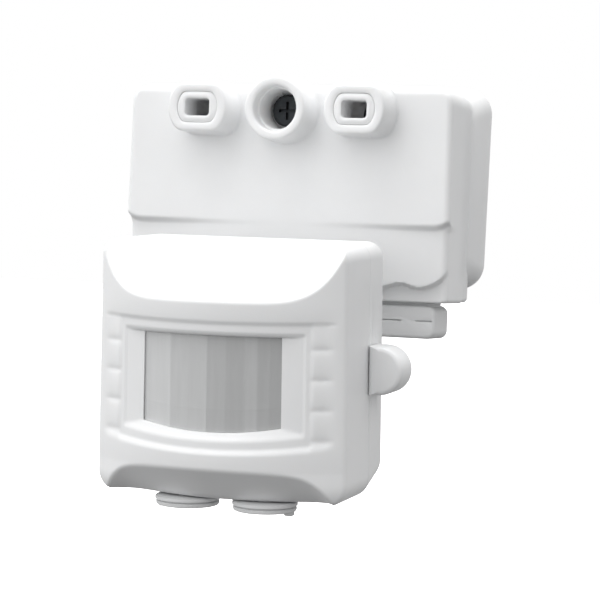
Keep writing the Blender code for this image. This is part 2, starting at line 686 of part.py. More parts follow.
def adjustment_knob(name, side, mat, parent):
    """Flat knob under the head with a pointer nib; its stem turns the trimmer above it."""
    x = side * KNOB_X
    top = HEAD_BOTTOM - GAP
    profile = [(KNOB_R - 1.3, top - KNOB_H), (KNOB_R - 0.5, top - KNOB_H + 0.5), (KNOB_R - 0.4, top - 2.0),
               (KNOB_R - 0.8, top - 1.85), (KNOB_R - 0.8, top - 1.55), (KNOB_R, top - 1.4), (KNOB_R, top),
               (STEM_R, top), (STEM_R, top + 8.2)]
    knob = add_object(name, turned(profile, "z", (x, KNOB_Y), 32), mat, parent, (x, KNOB_Y, top))
    reach = KNOB_R - 0.9
    end_x = x + side * reach
    low = (min(end_x, end_x - side * 3.4), KNOB_Y - 1.2, top - KNOB_H - 0.8)
    high = (max(end_x, end_x - side * 3.4), KNOB_Y + 1.2, top - KNOB_H + 1.0)
    combine(knob, "UNION", exact(block(low, high)))
    return smooth(knob)


def build():
    clear_scene()
    white = material("white_plastic", (0.86, 0.86, 0.85), 0.32)
    insert_white = material("insert_plastic", (0.84, 0.84, 0.83), 0.38)
    gland_grey = material("gland_plastic", (0.80, 0.80, 0.79), 0.45)
    knob_white = material("knob_plastic", (0.80, 0.80, 0.79), 0.4)
    milky = material("lens_plastic", (0.74, 0.76, 0.77), 0.3)
    seal = material("seal_rubber", (0.60, 0.60, 0.59), 0.7)
    zinc = material("zinc_steel", (0.62, 0.62, 0.60), 0.35, 1.0)
    dark_steel = material("dark_steel", (0.08, 0.08, 0.085), 0.45, 1.0)
    nylon = material("nylon", (0.72, 0.71, 0.68), 0.5)
    black = material("black_plastic", (0.03, 0.03, 0.03), 0.45)
    blue = material("blue_plastic", (0.05, 0.18, 0.42), 0.45)
    yellow = material("yellow_plastic", (0.72, 0.52, 0.08), 0.4)
    green = material("board_green", (0.03, 0.22, 0.09), 0.4)
    cell = material("cell_orange", (0.55, 0.24, 0.06), 0.4)
    led = material("led_red", (0.55, 0.04, 0.03), 0.2)

    rear_base(white)
    front_cover(white)
    box_gasket(seal)
    screw_insert("screw_insert_left", -1, insert_white)
    screw_insert("screw_insert_right", 1, insert_white)
    cover_screw(dark_steel)
    cable_gland("cable_gland_left", -1, gland_grey)
    cable_gland("cable_gland_right", 1, gland_grey)
    terminal_parts(nylon, zinc)
    cable_clamp(nylon, zinc)

    pan = pivot("pan_pivot", (0, PAN_Y, COVER_BOTTOM))
    swivel_arm(white, pan)
    pan_parts(seal, nylon, pan)

    head = pivot("tilt_pivot", (0, TILT_Y, TILT_Z), pitch=REST_PITCH)
    front_shell(white, head)
    rear_shell(white, head)
    head_gasket(seal, head)
    lens(milky, head)
    lens_retainer(white, head)
    head_screws(zinc, head)
    tilt_fasteners(white, zinc, nylon, head, head)
    circuit_board(green, head)
    board_parts({"metal": zinc, "black": black, "yellow": yellow, "cell": cell, "led": led, "blue": blue}, head)
    adjustment_knob("time_knob", -1, knob_white, head)
    adjustment_knob("lux_knob", 1, knob_white, head)


build()
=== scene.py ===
"""Render scene of the motion sensor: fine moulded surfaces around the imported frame.

Lengths are in millimetres until mesh_piece turns them into metres. The wall box and the arm are drawn in the
object's frame (x right, +y to the wall, +z up). The head, its dials and its knob are drawn in the head's
frame, whose origin is on the tilt axis.
"""
import json
from math import asin, cos, pi, radians, sin, sqrt

import bmesh
import bpy
import numpy as np
from mathutils import Matrix, Vector

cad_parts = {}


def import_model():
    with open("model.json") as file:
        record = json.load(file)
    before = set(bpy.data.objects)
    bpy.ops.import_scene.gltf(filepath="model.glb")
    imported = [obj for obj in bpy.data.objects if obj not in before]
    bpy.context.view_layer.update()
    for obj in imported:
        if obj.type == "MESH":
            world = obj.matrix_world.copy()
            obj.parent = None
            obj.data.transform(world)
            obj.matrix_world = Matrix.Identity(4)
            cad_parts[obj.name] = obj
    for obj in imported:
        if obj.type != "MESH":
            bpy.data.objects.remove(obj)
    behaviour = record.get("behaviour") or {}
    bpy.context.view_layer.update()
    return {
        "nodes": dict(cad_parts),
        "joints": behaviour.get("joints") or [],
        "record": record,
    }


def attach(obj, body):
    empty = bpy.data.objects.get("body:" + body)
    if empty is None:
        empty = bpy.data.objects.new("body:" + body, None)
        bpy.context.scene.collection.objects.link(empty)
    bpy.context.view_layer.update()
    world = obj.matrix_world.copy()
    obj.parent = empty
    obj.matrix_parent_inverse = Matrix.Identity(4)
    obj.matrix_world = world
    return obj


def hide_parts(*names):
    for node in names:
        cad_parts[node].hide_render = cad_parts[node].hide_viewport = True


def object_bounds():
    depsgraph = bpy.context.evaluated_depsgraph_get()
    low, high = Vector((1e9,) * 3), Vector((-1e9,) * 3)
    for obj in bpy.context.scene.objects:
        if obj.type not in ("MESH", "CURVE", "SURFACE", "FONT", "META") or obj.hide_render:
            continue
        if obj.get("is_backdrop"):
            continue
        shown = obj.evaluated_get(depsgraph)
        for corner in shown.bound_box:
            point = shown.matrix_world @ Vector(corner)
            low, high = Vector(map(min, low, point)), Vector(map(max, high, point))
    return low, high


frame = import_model()
NODES = frame["nodes"]
JOINTS = {joint["name"]: joint for joint in frame["joints"]}
MM = 0.001


def millimetres(values):
    """A place in metres as an array in millimetres."""
    return np.array([value / MM for value in values], float)


TILT = millimetres(JOINTS["tilt"]["pos_m"])
PAN = millimetres(JOINTS["pan"]["pos_m"])
DIAL_AXIS = JOINTS["time_turn"]["axis"]
PITCH = np.arctan2(-DIAL_AXIS[1], DIAL_AXIS[2])
HEAD = Matrix.Translation(Vector(TILT * MM)) @ Matrix.Rotation(PITCH, 4, "X")
OBJECT = Matrix.Identity(4)

SHARP = 32.0  # degrees between faces from which an edge is drawn sharp
SOFT_SHARP = 50.0  # the same for shells whose relief is steep but smooth
FAR = 99.0  # further than any piece reaches, for a band without an end

# ---- materials

def fill(node, values):
    """Set a node's inputs by name."""
    for name, value in values.items():
        node.inputs[name].default_value = value


def add_node(tree, kind, values=None, links=None):
    """A shader node with its input values, and the outputs that feed its other inputs."""
    node = tree.nodes.new("ShaderNode" + kind)
    fill(node, values or {})
    for name, output in (links or {}).items():
        tree.links.new(output, node.inputs[name])
    return node


def new_material(name, color, roughness, metallic=0.0):
    """A material with its node tree and its shader."""
    mat = bpy.data.materials.new(name)
    mat.use_nodes = True
    shader = mat.node_tree.nodes["Principled BSDF"]
    fill(shader, {"Base Color": (*color, 1.0), "Roughness": roughness, "Metallic": metallic})
    mat.diffuse_color = (*color, 1.0)
    return mat, mat.node_tree, shader


def noise(tree, scale, detail=3.0, roughness=0.5, stretch=(1, 1, 1)):
    """Noise in the object's own coordinates; scale counts features for each metre."""
    coords = add_node(tree, "TexCoord").outputs["Object"]
    mapping = add_node(tree, "Mapping", {"Scale": stretch}, {"Vector": coords})
    values = {"Scale": scale, "Detail": detail, "Roughness": roughness}
    return add_node(tree, "TexNoise", values, {"Vector": mapping.outputs["Vector"]}).outputs["Fac"]


def ramp(tree, factor, low, high):
    """A blend from the low colour to the high one over the middle of the factor's range."""
    node = add_node(tree, "ValToRGB", links={"Fac": factor})
    for index, place, color in ((0, 0.3, low), (1, 0.7, high)):
        node.color_ramp.elements[index].position = place
        node.color_ramp.elements[index].color = (*color, 1.0)
    return node.outputs["Color"]


def map_range(tree, factor, low, high, start=0.0, end=1.0):
    """The factor's range from start to end, spread from low to high."""
    values = {"From Min": start, "From Max": end, "To Min": low, "To Max": high}
    return add_node(tree, "MapRange", values, {"Value": factor}).outputs["Result"]


def bump(tree, shader, height, distance, strength=1.0):
    """Fine relief, with its depth in metres."""
    node = add_node(tree, "Bump", {"Strength": strength, "Distance": distance}, {"Height": height})
    tree.links.new(node.outputs["Normal"], shader.inputs["Normal"])


def add_subsurface(shader, weight, radius):
    """Light that scatters under the surface, with its radius for each colour in metres."""
    fill(shader, {"Subsurface Weight": weight, "Subsurface Radius": radius, "Subsurface Scale": 1.0})


def moulded_plastic(name, color, roughness, grain=0.00002, shift=0.012, subsurface=0.0):
    """Injection-moulded plastic: faint flow mottling, uneven gloss and a fine spark-eroded grain."""
    mat, tree, shader = new_material(name, color, roughness)
    low = tuple(max(c - shift, 0.0) for c in color)
    high = tuple(min(c + shift, 1.0) for c in color)
    mottling = noise(tree, scale=45.0, detail=4.0)
    tree.links.new(ramp(tree, mottling, low, high), shader.inputs["Base Color"])
    gloss = map_range(tree, noise(tree, scale=160.0), roughness - 0.06, roughness + 0.08)
    tree.links.new(gloss, shader.inputs["Roughness"])
    bump(tree, shader, noise(tree, scale=2600.0, detail=2.0, roughness=0.6), grain)
    fill(shader, {"IOR": 1.49})
    if subsurface:
        add_subsurface(shader, subsurface, (0.0022, 0.0020, 0.0018))
    return mat


def plated_metal(name, color, roughness):
    """Plated or blackened steel with a patchy tone and gloss."""
    mat, tree, shader = new_material(name, color, roughness, metallic=1.0)
    tone = noise(tree, scale=900.0, detail=4.0)
    tree.links.new(ramp(tree, tone, tuple(c * 0.82 for c in color), color), shader.inputs["Base Color"])
    gloss = map_range(tree, noise(tree, scale=500.0), roughness - 0.08, roughness + 0.12)
    tree.links.new(gloss, shader.inputs["Roughness"])
    bump(tree, shader, noise(tree, scale=4000.0, detail=2.0), 0.00001)
    return mat


# upright strips of the lens: from x, to x, grey tone; the differences between the tones are painted shade for
# how the light falls on each facet's angle
LENS_FACET_SHADES = ((-19.8, -11.4, 0.66), (-11.4, -5.9, 0.585), (-5.9, -0.4, 0.58), (-0.4, 4.9, 0.50),
               (4.9, 10.1, 0.475), (10.1, 13.4, 0.53), (13.4, 16.6, 0.465), (16.6, 19.8, 0.46))
FACET_BLEND = 0.3  # half the width over which one strip's tone turns into the next


def lens_plastic():
    """Milky polyethylene whose upright facets differ in tone by painted shade for how the light falls on each
    facet, with fine streaks and faint Fresnel grooves.
    """
    mat, tree, shader = new_material("milky_lens", (0.55, 0.56, 0.565), 0.36)
    coords = add_node(tree, "TexCoord").outputs["Object"]
    split = add_node(tree, "SeparateXYZ", links={"Vector": coords})
    left, right = LENS_FACET_SHADES[0][0], LENS_FACET_SHADES[-1][1]
    across = map_range(tree, split.outputs["X"], 0.0, 1.0, left * MM, right * MM)
    # painted shade: each strip's grey is lighter or darker by how the light falls on that facet; the milky
    # grey under it is the lens's own colour
    tones = add_node(tree, "ValToRGB", links={"Fac": across})
    stops = tones.color_ramp.elements
    stops.remove(stops[1])
    for start, end, tone in LENS_FACET_SHADES:
        for place in (start + FACET_BLEND, end - FACET_BLEND):
            share = (place - left) / (right - left)
            stop = stops[0] if place == left + FACET_BLEND else stops.new(share)
            stop.position = share
            stop.color = (tone, tone * 1.01, tone * 1.015, 1.0)
    upright = noise(tree, scale=700.0, roughness=0.55, stretch=(1.0, 1.0, 0.06))
    streaks = ramp(tree, upright, (0.955, 0.955, 0.955), (1.0, 1.0, 1.0))
    mix = add_node(tree, "Mix")
    mix.data_type = "RGBA"
    mix.blend_type = "MULTIPLY"
    mix.inputs["Factor"].default_value = 1.0
    tree.links.new(tones.outputs["Color"], mix.inputs["A"])
    tree.links.new(streaks, mix.inputs["B"])
    grooves = add_node(tree, "TexWave", {"Scale": 560.0}, {"Vector": coords})
    grooves.wave_type = "RINGS"
    grooves.rings_direction = "Y"
    bump(tree, shader, grooves.outputs["Fac"], 0.000012, strength=0.6)
    tree.links.new(mix.outputs["Result"], shader.inputs["Base Color"])
    fill(shader, {"IOR": 1.5})
    add_subsurface(shader, 0.15, (0.001, 0.001, 0.001))
    return mat


def circuit_laminate():
    """Green solder resist with lighter tracks."""
    mat, tree, shader = new_material("board_laminate", (0.03, 0.2, 0.09), 0.35)
    coords = add_node(tree, "TexCoord").outputs["Object"]
    mapping = add_node(tree, "Mapping", {"Rotation": (radians(90), 0, 0)}, {"Vector": coords})
    values = {"Scale": 130.0, "Mortar Size": 0.06, "Color1": (0.025, 0.17, 0.07, 1),
              "Color2": (0.03, 0.21, 0.09, 1), "Mortar": (0.05, 0.30, 0.13, 1)}
    tracks = add_node(tree, "TexBrick", values, {"Vector": mapping.outputs["Vector"]})
    tree.links.new(tracks.outputs["Color"], shader.inputs["Base Color"])
    bump(tree, shader, noise(tree, scale=1500.0), 0.00002)
    return mat


# the finish for each material slot in the record
FINISHES = {
    "white_plastic": moulded_plastic("white_moulding", (0.86, 0.865, 0.87), 0.33, subsurface=0.08),
    "insert_plastic": moulded_plastic("insert_moulding", (0.85, 0.855, 0.86), 0.4),
    "gland_plastic": moulded_plastic("gland_moulding", (0.76, 0.765, 0.77), 0.5, grain=0.00003),
    "knob_plastic": moulded_plastic("knob_moulding", (0.74, 0.745, 0.75), 0.45, grain=0.00003),
    "seal_rubber": moulded_plastic("seal_rubber", (0.60, 0.60, 0.59), 0.75, grain=0.00004),
    "nylon": moulded_plastic("natural_nylon", (0.70, 0.69, 0.66), 0.5),
    "black_plastic": moulded_plastic("black_plastic", (0.03, 0.03, 0.03), 0.45, shift=0.006),
    "blue_plastic": moulded_plastic("trimmer_blue", (0.05, 0.18, 0.42), 0.4),
    "yellow_plastic": moulded_plastic("capacitor_yellow", (0.68, 0.46, 0.08), 0.35),
    "cell_orange": moulded_plastic("light_cell_epoxy", (0.5, 0.24, 0.07), 0.3),
    "led_red": moulded_plastic("led_epoxy", (0.5, 0.04, 0.03), 0.2),
    "zinc_steel": plated_metal("zinc_plate", (0.62, 0.62, 0.60), 0.35),
    "dark_steel": plated_metal("dark_steel", (0.06, 0.065, 0.07), 0.5),
    "lens_plastic": lens_plastic(),
    "board_green": circuit_laminate(),
}


# ---- mesh tools

def make_object(name, shape, slot, place=OBJECT, sharp=SHARP):
    """An object from a shape in millimetres, in the finish of its slot."""
    mesh = bpy.data.meshes.new(name)
    points = (np.asarray(shape.verts, float) * MM).tolist()
    mesh.from_pydata(points, [], [tuple(int(i) for i in face) for face in shape.faces])
    mesh.update()
    mesh.materials.append(FINISHES[slot])
    obj = bpy.data.objects.new(name, mesh)
    bpy.context.scene.collection.objects.link(obj)
    mesh.transform(place)
    turn_outwards(mesh)
    mesh.shade_smooth()
    mesh.set_sharp_from_angle(angle=radians(sharp))
    return obj


def turn_outwards(mesh):
    """Turn every face outwards."""
    bm = bmesh.new()
    bm.from_mesh(mesh)
    bmesh.ops.recalc_face_normals(bm, faces=bm.faces)
    bm.to_mesh(mesh)
    bm.free()


def settle(obj, body, nodes):
    """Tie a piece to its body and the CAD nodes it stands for."""
    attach(obj, body)
    if nodes:
        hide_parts(*nodes)


def mesh_piece(name, shape, body, nodes, slot, place=OBJECT, sharp=SHARP):
    """A piece that is a shape as it stands."""
    settle(make_object(name, shape, slot, place, sharp), body, nodes)


class Shape:
    """Vertices and faces that are gathered before they become one mesh."""

    def __init__(self):
        self.verts = []
        self.faces = []

    def add(self, points):
        start = len(self.verts)
        self.verts.extend(map(tuple, points))
        return np.arange(start, start + len(points))

    def bridge(self, ring_a, ring_b):
        count = len(ring_a)
        for i in range(count):
            j = (i + 1) % count
            self.faces.append((ring_a[i], ring_a[j], ring_b[j], ring_b[i]))

    def cap(self, ring):
        self.faces.append(tuple(ring))


# where x, y and z come from in a (u, v, height) point
AXES = {"x": (2, 0, 1), "y": (0, 2, 1), "z": (0, 1, 2)}


def place_ring(outline, height, axis):
    """An outline of (u, v) points at a height along an axis."""
    return np.column_stack([outline, np.full(len(outline), height)])[:, AXES[axis]]


def loft(rings, axis, closed=False):
    """A body through rings of (outline, height). A closed loft joins its last ring to the first."""
    shape = Shape()
    rows = [shape.add(place_ring(np.asarray(outline, float), height, axis)) for outline, height in rings]
    for low, high in zip(rows, rows[1:]):
        shape.bridge(low, high)
    if closed:
        shape.bridge(rows[-1], rows[0])
    else:
        shape.cap(rows[0])
        shape.cap(rows[-1])
    return shape


def circle(radius, centre=(0.0, 0.0), segments=72):
    """Points round a circle."""
    angle = np.arange(segments) * 2 * pi / segments
    return np.column_stack([centre[0] + radius * np.cos(angle), centre[1] + radius * np.sin(angle)])


def rounded_rect(low, high, radius, steps=12, low_radius=None):
    """A rectangle with round corners, which may be rounder or tighter at its lower end."""
    (u0, v0), (u1, v1) = low, high
    small = low_radius or radius
    points = []
    for cu, cv, r, start in ((u1 - radius, v1 - radius, radius, 0), (u0 + radius, v1 - radius, radius, 90),
                             (u0 + small, v0 + small, small, 180), (u1 - small, v0 + small, small, 270)):
        for i in range(steps + 1):
            angle = radians(start + 90 * i / steps)
            points.append((cu + r * cos(angle), cv + r * sin(angle)))
    return np.array(points)


def flat_circle(radius, half, centre):
    """A circle cut flat at the top and bottom, with slightly eased corners."""
    round_steps, flat_steps, easing = 26, 8, 3
    limit = asin(min(half / radius, 0.999))
    points = []
    for middle, sign in ((0.0, 1), (pi, -1)):
        for i in range(round_steps + 1):
            angle = middle - limit + 2 * limit * i / round_steps
            points.append((radius * cos(angle), radius * sin(angle)))
        edge = radius * cos(limit) * sign
        for i in range(1, flat_steps):
            points.append((edge * (1 - 2 * i / flat_steps), sign * half))
    points = np.array(points)
    for _ in range(easing):
        points = 0.5 * points + 0.25 * (np.roll(points, 1, 0) + np.roll(points, -1, 0))
    return points + np.array(centre)


def inset(ring, amount):
    """Move a closed outline in by an amount along its own normals."""
    ring = np.asarray(ring, float)
    tangent = np.roll(ring, -1, 0) - np.roll(ring, 1, 0)
    length = np.maximum(np.hypot(tangent[:, 0], tangent[:, 1]), 1e-9)
    normal = np.column_stack([tangent[:, 1], -tangent[:, 0]]) / length[:, None]
    area = np.sum(ring[:, 0] * np.roll(ring[:, 1], -1) - np.roll(ring[:, 0], -1) * ring[:, 1])
    return ring - normal * amount * np.sign(area)


def edge_arc(radius, start_height, direction, steps=5):
    """(inset, height) pairs round a quarter-round edge, from the flat face to the side."""
    pairs = []
    for i in range(steps + 1):
        angle = pi / 2 * i / steps
        pairs.append((radius * (1 - sin(angle)), start_height + direction * radius * (1 - cos(angle))))
    return pairs


def smoothstep(low, high, value):
    """0 below low, 1 above high, and a smooth rise between them."""
    t = np.clip((value - low) / (high - low), 0.0, 1.0)
    return t * t * (3 - 2 * t)


def band(value, low, high, soft):
    """1 between low and high, with soft edges that fall inside the band."""
    return smoothstep(low, low + soft, value) * (1 - smoothstep(high - soft, high, value))


def soft_max(a, b, width):
    """The greater of a and b, blended where they differ by less than the width."""
    h = np.clip(0.5 + 0.5 * (a - b) / width, 0.0, 1.0)
    return b * (1 - h) + a * h + width * h * (1 - h)


def grid_shell(outer, inner, keep, rings):
    """A shell from an outer and an inner grid. Cells that aren't kept are openings with their own walls.

    The rings lead from the outer grid's border round the rim to the inner grid's border.
    """
    rows, cols = outer.shape[:2]
    shape = Shape()
    out = shape.add(outer.reshape(-1, 3)).reshape(rows, cols)
    into = shape.add(inner.reshape(-1, 3)).reshape(rows, cols)
    for j in range(rows - 1):
        for i in range(cols - 1):
            if keep[j, i]:
                shape.faces.append((out[j, i], out[j, i + 1], out[j + 1, i + 1], out[j + 1, i]))
                shape.faces.append((into[j, i], into[j + 1, i], into[j + 1, i + 1], into[j, i + 1]))
    for j in range(rows - 1):
        for i in range(1, cols - 1):
            if keep[j, i] != keep[j, i - 1]:
                shape.faces.append((out[j, i], out[j + 1, i], into[j + 1, i], into[j, i]))
    for j in range(1, rows - 1):
        for i in range(cols - 1):
            if keep[j, i] != keep[j - 1, i]:
                shape.faces.append((out[j, i], out[j, i + 1], into[j, i + 1], into[j, i]))
    previous = border(out)
    for ring in rings:
        this = shape.add(ring)
        shape.bridge(previous, this)
        previous = this
    shape.bridge(previous, border(into))
    used = sorted({i for face in shape.faces for i in face})
    index = {old: new for new, old in enumerate(used)}
    shape.verts = [shape.verts[i] for i in used]
    shape.faces = [tuple(index[i] for i in face) for face in shape.faces]
    return shape


def border(grid):
    """The border of a grid in order round it."""
    return np.concatenate([grid[0, :-1], grid[:-1, -1], grid[-1, :0:-1], grid[:0:-1, 0]])


def spaced(low, high, step, marks=()):
    """Evenly spaced numbers that also pass exactly through the marks."""
    stops = sorted({low, high, *marks})
    values = []
    for a, b in zip(stops, stops[1:]):
        count = max(int(round((b - a) / step)), 1)
        values.extend(a + (b - a) * i / count for i in range(count))
    return np.array([*values, stops[-1]])


def quarter_turn(count):
    """Evenly spaced angles up to a right angle, without the first one at 0."""
    return np.linspace(0, pi / 2, count + 1)[1:]


def round_off(share):
    """How far a round edge has fallen back, as a share of its radius, from 0 at its start to 1 at its end."""
    return 1 - np.sqrt(np.maximum(1 - share ** 2, 0))


def outline_grid(us, zs, half, low, high, corner, low_corner=None):
    """x for each row of a grid that ends on a rounded rectangle; us runs from -1 to 1."""
    small = low_corner or corner
    width = np.full(len(zs), half)
    top = zs > high - corner
    bottom = zs < low + small
    width[top] = half - corner + np.sqrt(np.maximum(corner ** 2 - (zs[top] - high + corner) ** 2, 0))
    width[bottom] = half - small + np.sqrt(np.maximum(small ** 2 - (low + small - zs[bottom]) ** 2, 0))
    return us[None, :] * width[:, None]


def corner_rows(low, high, corner, step, marks=(), low_corner=None):
    """Row heights that are evenly spread round the corners of the outline."""
    small = low_corner or corner
    angles = quarter_turn(13)
    top = high - corner + corner * np.sin(angles)
    bottom = (low + small - small * np.sin(angles))[::-1]
    return np.concatenate([bottom, spaced(low + small, high - corner, step, marks), top])


def end_round(zs, low, high, radius):
    """How far the surface falls back as it rounds over the top and bottom edges."""
    near = np.minimum(high - zs, zs - low)
    return radius * round_off(np.clip(1 - near / radius, 0, 1))


def apply_modifiers(obj):
    """Turn an object's modifiers into its mesh."""
    graph = bpy.context.evaluated_depsgraph_get()
    mesh = bpy.data.meshes.new_from_object(obj.evaluated_get(graph))
    old = obj.data
    obj.modifiers.clear()
    obj.data = mesh
    bpy.data.meshes.remove(old)


def cut_and_join(name, base, steps, body, nodes, slot, place=OBJECT, edge=0.0, sharp=SHARP):
    """A piece that is a base shape after some booleans, with its edges eased."""
    obj = make_object(name, base, slot, sharp=sharp)
    tools = []
    for number, (operation, shape) in enumerate(steps):
        tool = make_object(f"{name}_tool_{number}", shape, slot)
        modifier = obj.modifiers.new(tool.name, "BOOLEAN")
        modifier.operation = operation
        modifier.object = tool
        modifier.solver = "EXACT"
        tools.append(tool)
    if edge:
        bevel = obj.modifiers.new("edge", "BEVEL")
        bevel.width = edge * MM
        bevel.segments = 2
        bevel.limit_method = "ANGLE"
        bevel.angle_limit = radians(40)
    apply_modifiers(obj)
    for tool in tools:
        bpy.data.objects.remove(tool, do_unlink=True)
    obj.data.transform(place)
    obj.data.shade_smooth()
    obj.data.set_sharp_from_angle(angle=radians(sharp))
    settle(obj, body, nodes)


# ---- head front

HEAD_HALF = 36.0
HEAD_LOW, HEAD_HIGH, HEAD_CORNER, CHIN_CORNER = -35.4, 34.6, 4.5, 6.0
HEAD_TAPER = 0.0003  # growth of the half width for each millimetre downwards
FRONT_R, FRONT_APEX = 62.0, -34.5  # the curved front's radius, and y of its foremost line
SIDE_ROUND = 2.2  # radius between the front and the sides
EDGE_ROUND = 1.6  # how far the front falls back at its top and bottom edges
BROW, LIP = 13.8, -21.0  # top and bottom of the recess round the window
LENS_TOP, LENS_LOW, LENS_HALF = 10.0, -16.0, 19.9
FRAME_TOP, FRAME_LOW, FRAME_HALF = 10.9, -17.7, 26.0
PANEL_HALF, RECESS_HALF = 27.2, 33.0  # inner and outer side of the ribbed columns
RIB_TOP, RIB_PITCH = 7.0, 8.13
SWELL = 0.25  # how far the front falls back towards the brow and the lip
LENS_SEAT, FRAME_RISE = 2.1, 1.0  # depth at the lens, and what the frame's slope takes off it
RECESS_DEPTH = 0.75  # depth between the frame and the columns
PAD_DEPTH, RIB_SWELL = 0.52, 0.22  # depth of the columns, and how far each rib swells out of them
GROOVE_DEPTH, GROOVE_WIDTH = 0.16, 0.9
ARC_LOW, ARC_RISE, ARC_POWER = 19.3, 2.5, 6.2
VISOR_SLOPE = 0.85  # the visor's rise for each millimetre of depth
RIM = -3.97  # where the front shell ends

ARC_CENTRE = FRONT_APEX + FRONT_R
ROUND_X = HEAD_HALF - SIDE_ROUND
ROUND_Y = ARC_CENTRE - sqrt((FRONT_R - SIDE_ROUND) ** 2 - ROUND_X ** 2)
ROUND_START = ROUND_X * FRONT_R / (FRONT_R - SIDE_ROUND)
SIDE_START = 33.6  # where the grid's columns close up for the rounded sides


def plain_arc(x):
    """y of the head's curved front, without its rounded sides."""
    return ARC_CENTRE - np.sqrt(FRONT_R ** 2 - x ** 2)


def front_arc(x):
    """y of the head's curved front and its rounded sides."""
    ax = np.minimum(np.abs(x), HEAD_HALF)
    arc = plain_arc(np.minimum(ax, ROUND_START))
    side = ROUND_Y - np.sqrt(np.maximum(SIDE_ROUND ** 2 - (ax - ROUND_X) ** 2, 0))
    return np.where(ax <= ROUND_START, arc, side)


def smile(zeta):
    """How strongly a level line of the front curves up towards the sides."""
    return np.interp(zeta, [-34, -26, LIP, FRAME_LOW, LENS_LOW, 0, LENS_TOP, BROW, 18, 35],
                     [0, 0, 0.0022, 0.0028, 0.0046, 0.0012, 0.0, 0.0004, 0.0, 0.0])


def front_depth(x, zeta, z):
    """Depth of the moulded relief behind the plain curve of the front."""
    ax = np.abs(x)
    brow_start = 19.0
    brow = SWELL * np.clip((brow_start - zeta) / (brow_start - BROW), 0, 1) ** 2 * (zeta > BROW - 1)
    brow = brow * (1 - smoothstep(30.0, 35.0, ax))
    lip = SWELL * np.clip((LIP - zeta) / 5.0, 0, 1) ** 2
    plain = np.where(zeta > 0, brow, lip)

    # the frame slopes in to the lens at its sides and bottom, and drops to it at the top
    across = (ax - LENS_HALF) / (FRAME_HALF - LENS_HALF)
    above = (zeta - LENS_TOP) / 0.4
    below = (LENS_LOW - zeta) / (LENS_LOW - FRAME_LOW)
    frame_slope = np.clip(np.maximum(np.maximum(across, above), below), 0, 1)
    inside = LENS_SEAT - FRAME_RISE * frame_slope
    in_frame = band(ax, -FAR, FRAME_HALF + 0.4, 0.9) * smoothstep(FRAME_LOW - 0.8, FRAME_LOW + 0.5, zeta)
    in_frame = in_frame * (1 - smoothstep(FRAME_TOP - 0.4, FRAME_TOP + 0.4, zeta))
    recess = RECESS_DEPTH + (inside - RECESS_DEPTH) * in_frame

    # ribbed columns: soft ribs with a groove between each two
    run = (RIB_TOP - z) / RIB_PITCH
    part = run - np.floor(run)
    to_groove = np.minimum(part, 1 - part) * RIB_PITCH
    pad = PAD_DEPTH - RIB_SWELL * np.sin(pi * part) + GROOVE_DEPTH * np.exp(-(to_groove / GROOVE_WIDTH) ** 2)
    pad = pad + 0.2 * smoothstep(RIB_TOP, BROW, z)
    on_pad = band(ax, PANEL_HALF - 0.4, FAR, 1.8)
    recess = recess + (pad - recess) * on_pad
    recess = recess + 0.08 * np.exp(-((ax - PANEL_HALF) / 0.6) ** 2)

    in_recess = 1 - smoothstep(RECESS_HALF - 2.6, RECESS_HALF + 1.2, ax)
    in_recess = in_recess * smoothstep(LIP - 0.9, LIP + 0.9, zeta)
    in_recess = in_recess * (1 - smoothstep(BROW - 0.9, BROW + 0.4, zeta))
    return plain + (recess - plain) * in_recess


def chin_depth(x, z):
    """The sloping scoop under the lower lip."""
    ax = np.abs(x)
    top = -26.0 - 0.7 * (ax / 27) ** 2 - 3.2 * (ax / 29.5) ** 9
    return soft_max((top - z) * 1.12, np.zeros_like(z), 0.7)


def visor_depth(x, z):
    """How far the visor's slope lies behind the front. Its lower edge turns up steeply at the sides."""
    edge = ARC_LOW + ARC_RISE * (np.abs(x) / 27.0) ** ARC_POWER
    return (z - edge) / VISOR_SLOPE


def widen(points):
    """The head's sides spread a little towards the bottom."""
    points = np.asarray(points, float)
    across, height = points[..., 0], points[..., -1]
    points[..., 0] = across * (1 - HEAD_TAPER * height)
    return points


def level_ring(outline, y):
    """An outline of (x, z) points as points at one y."""
    return np.column_stack([outline[:, 0], np.full(len(outline), y), outline[:, 1]])


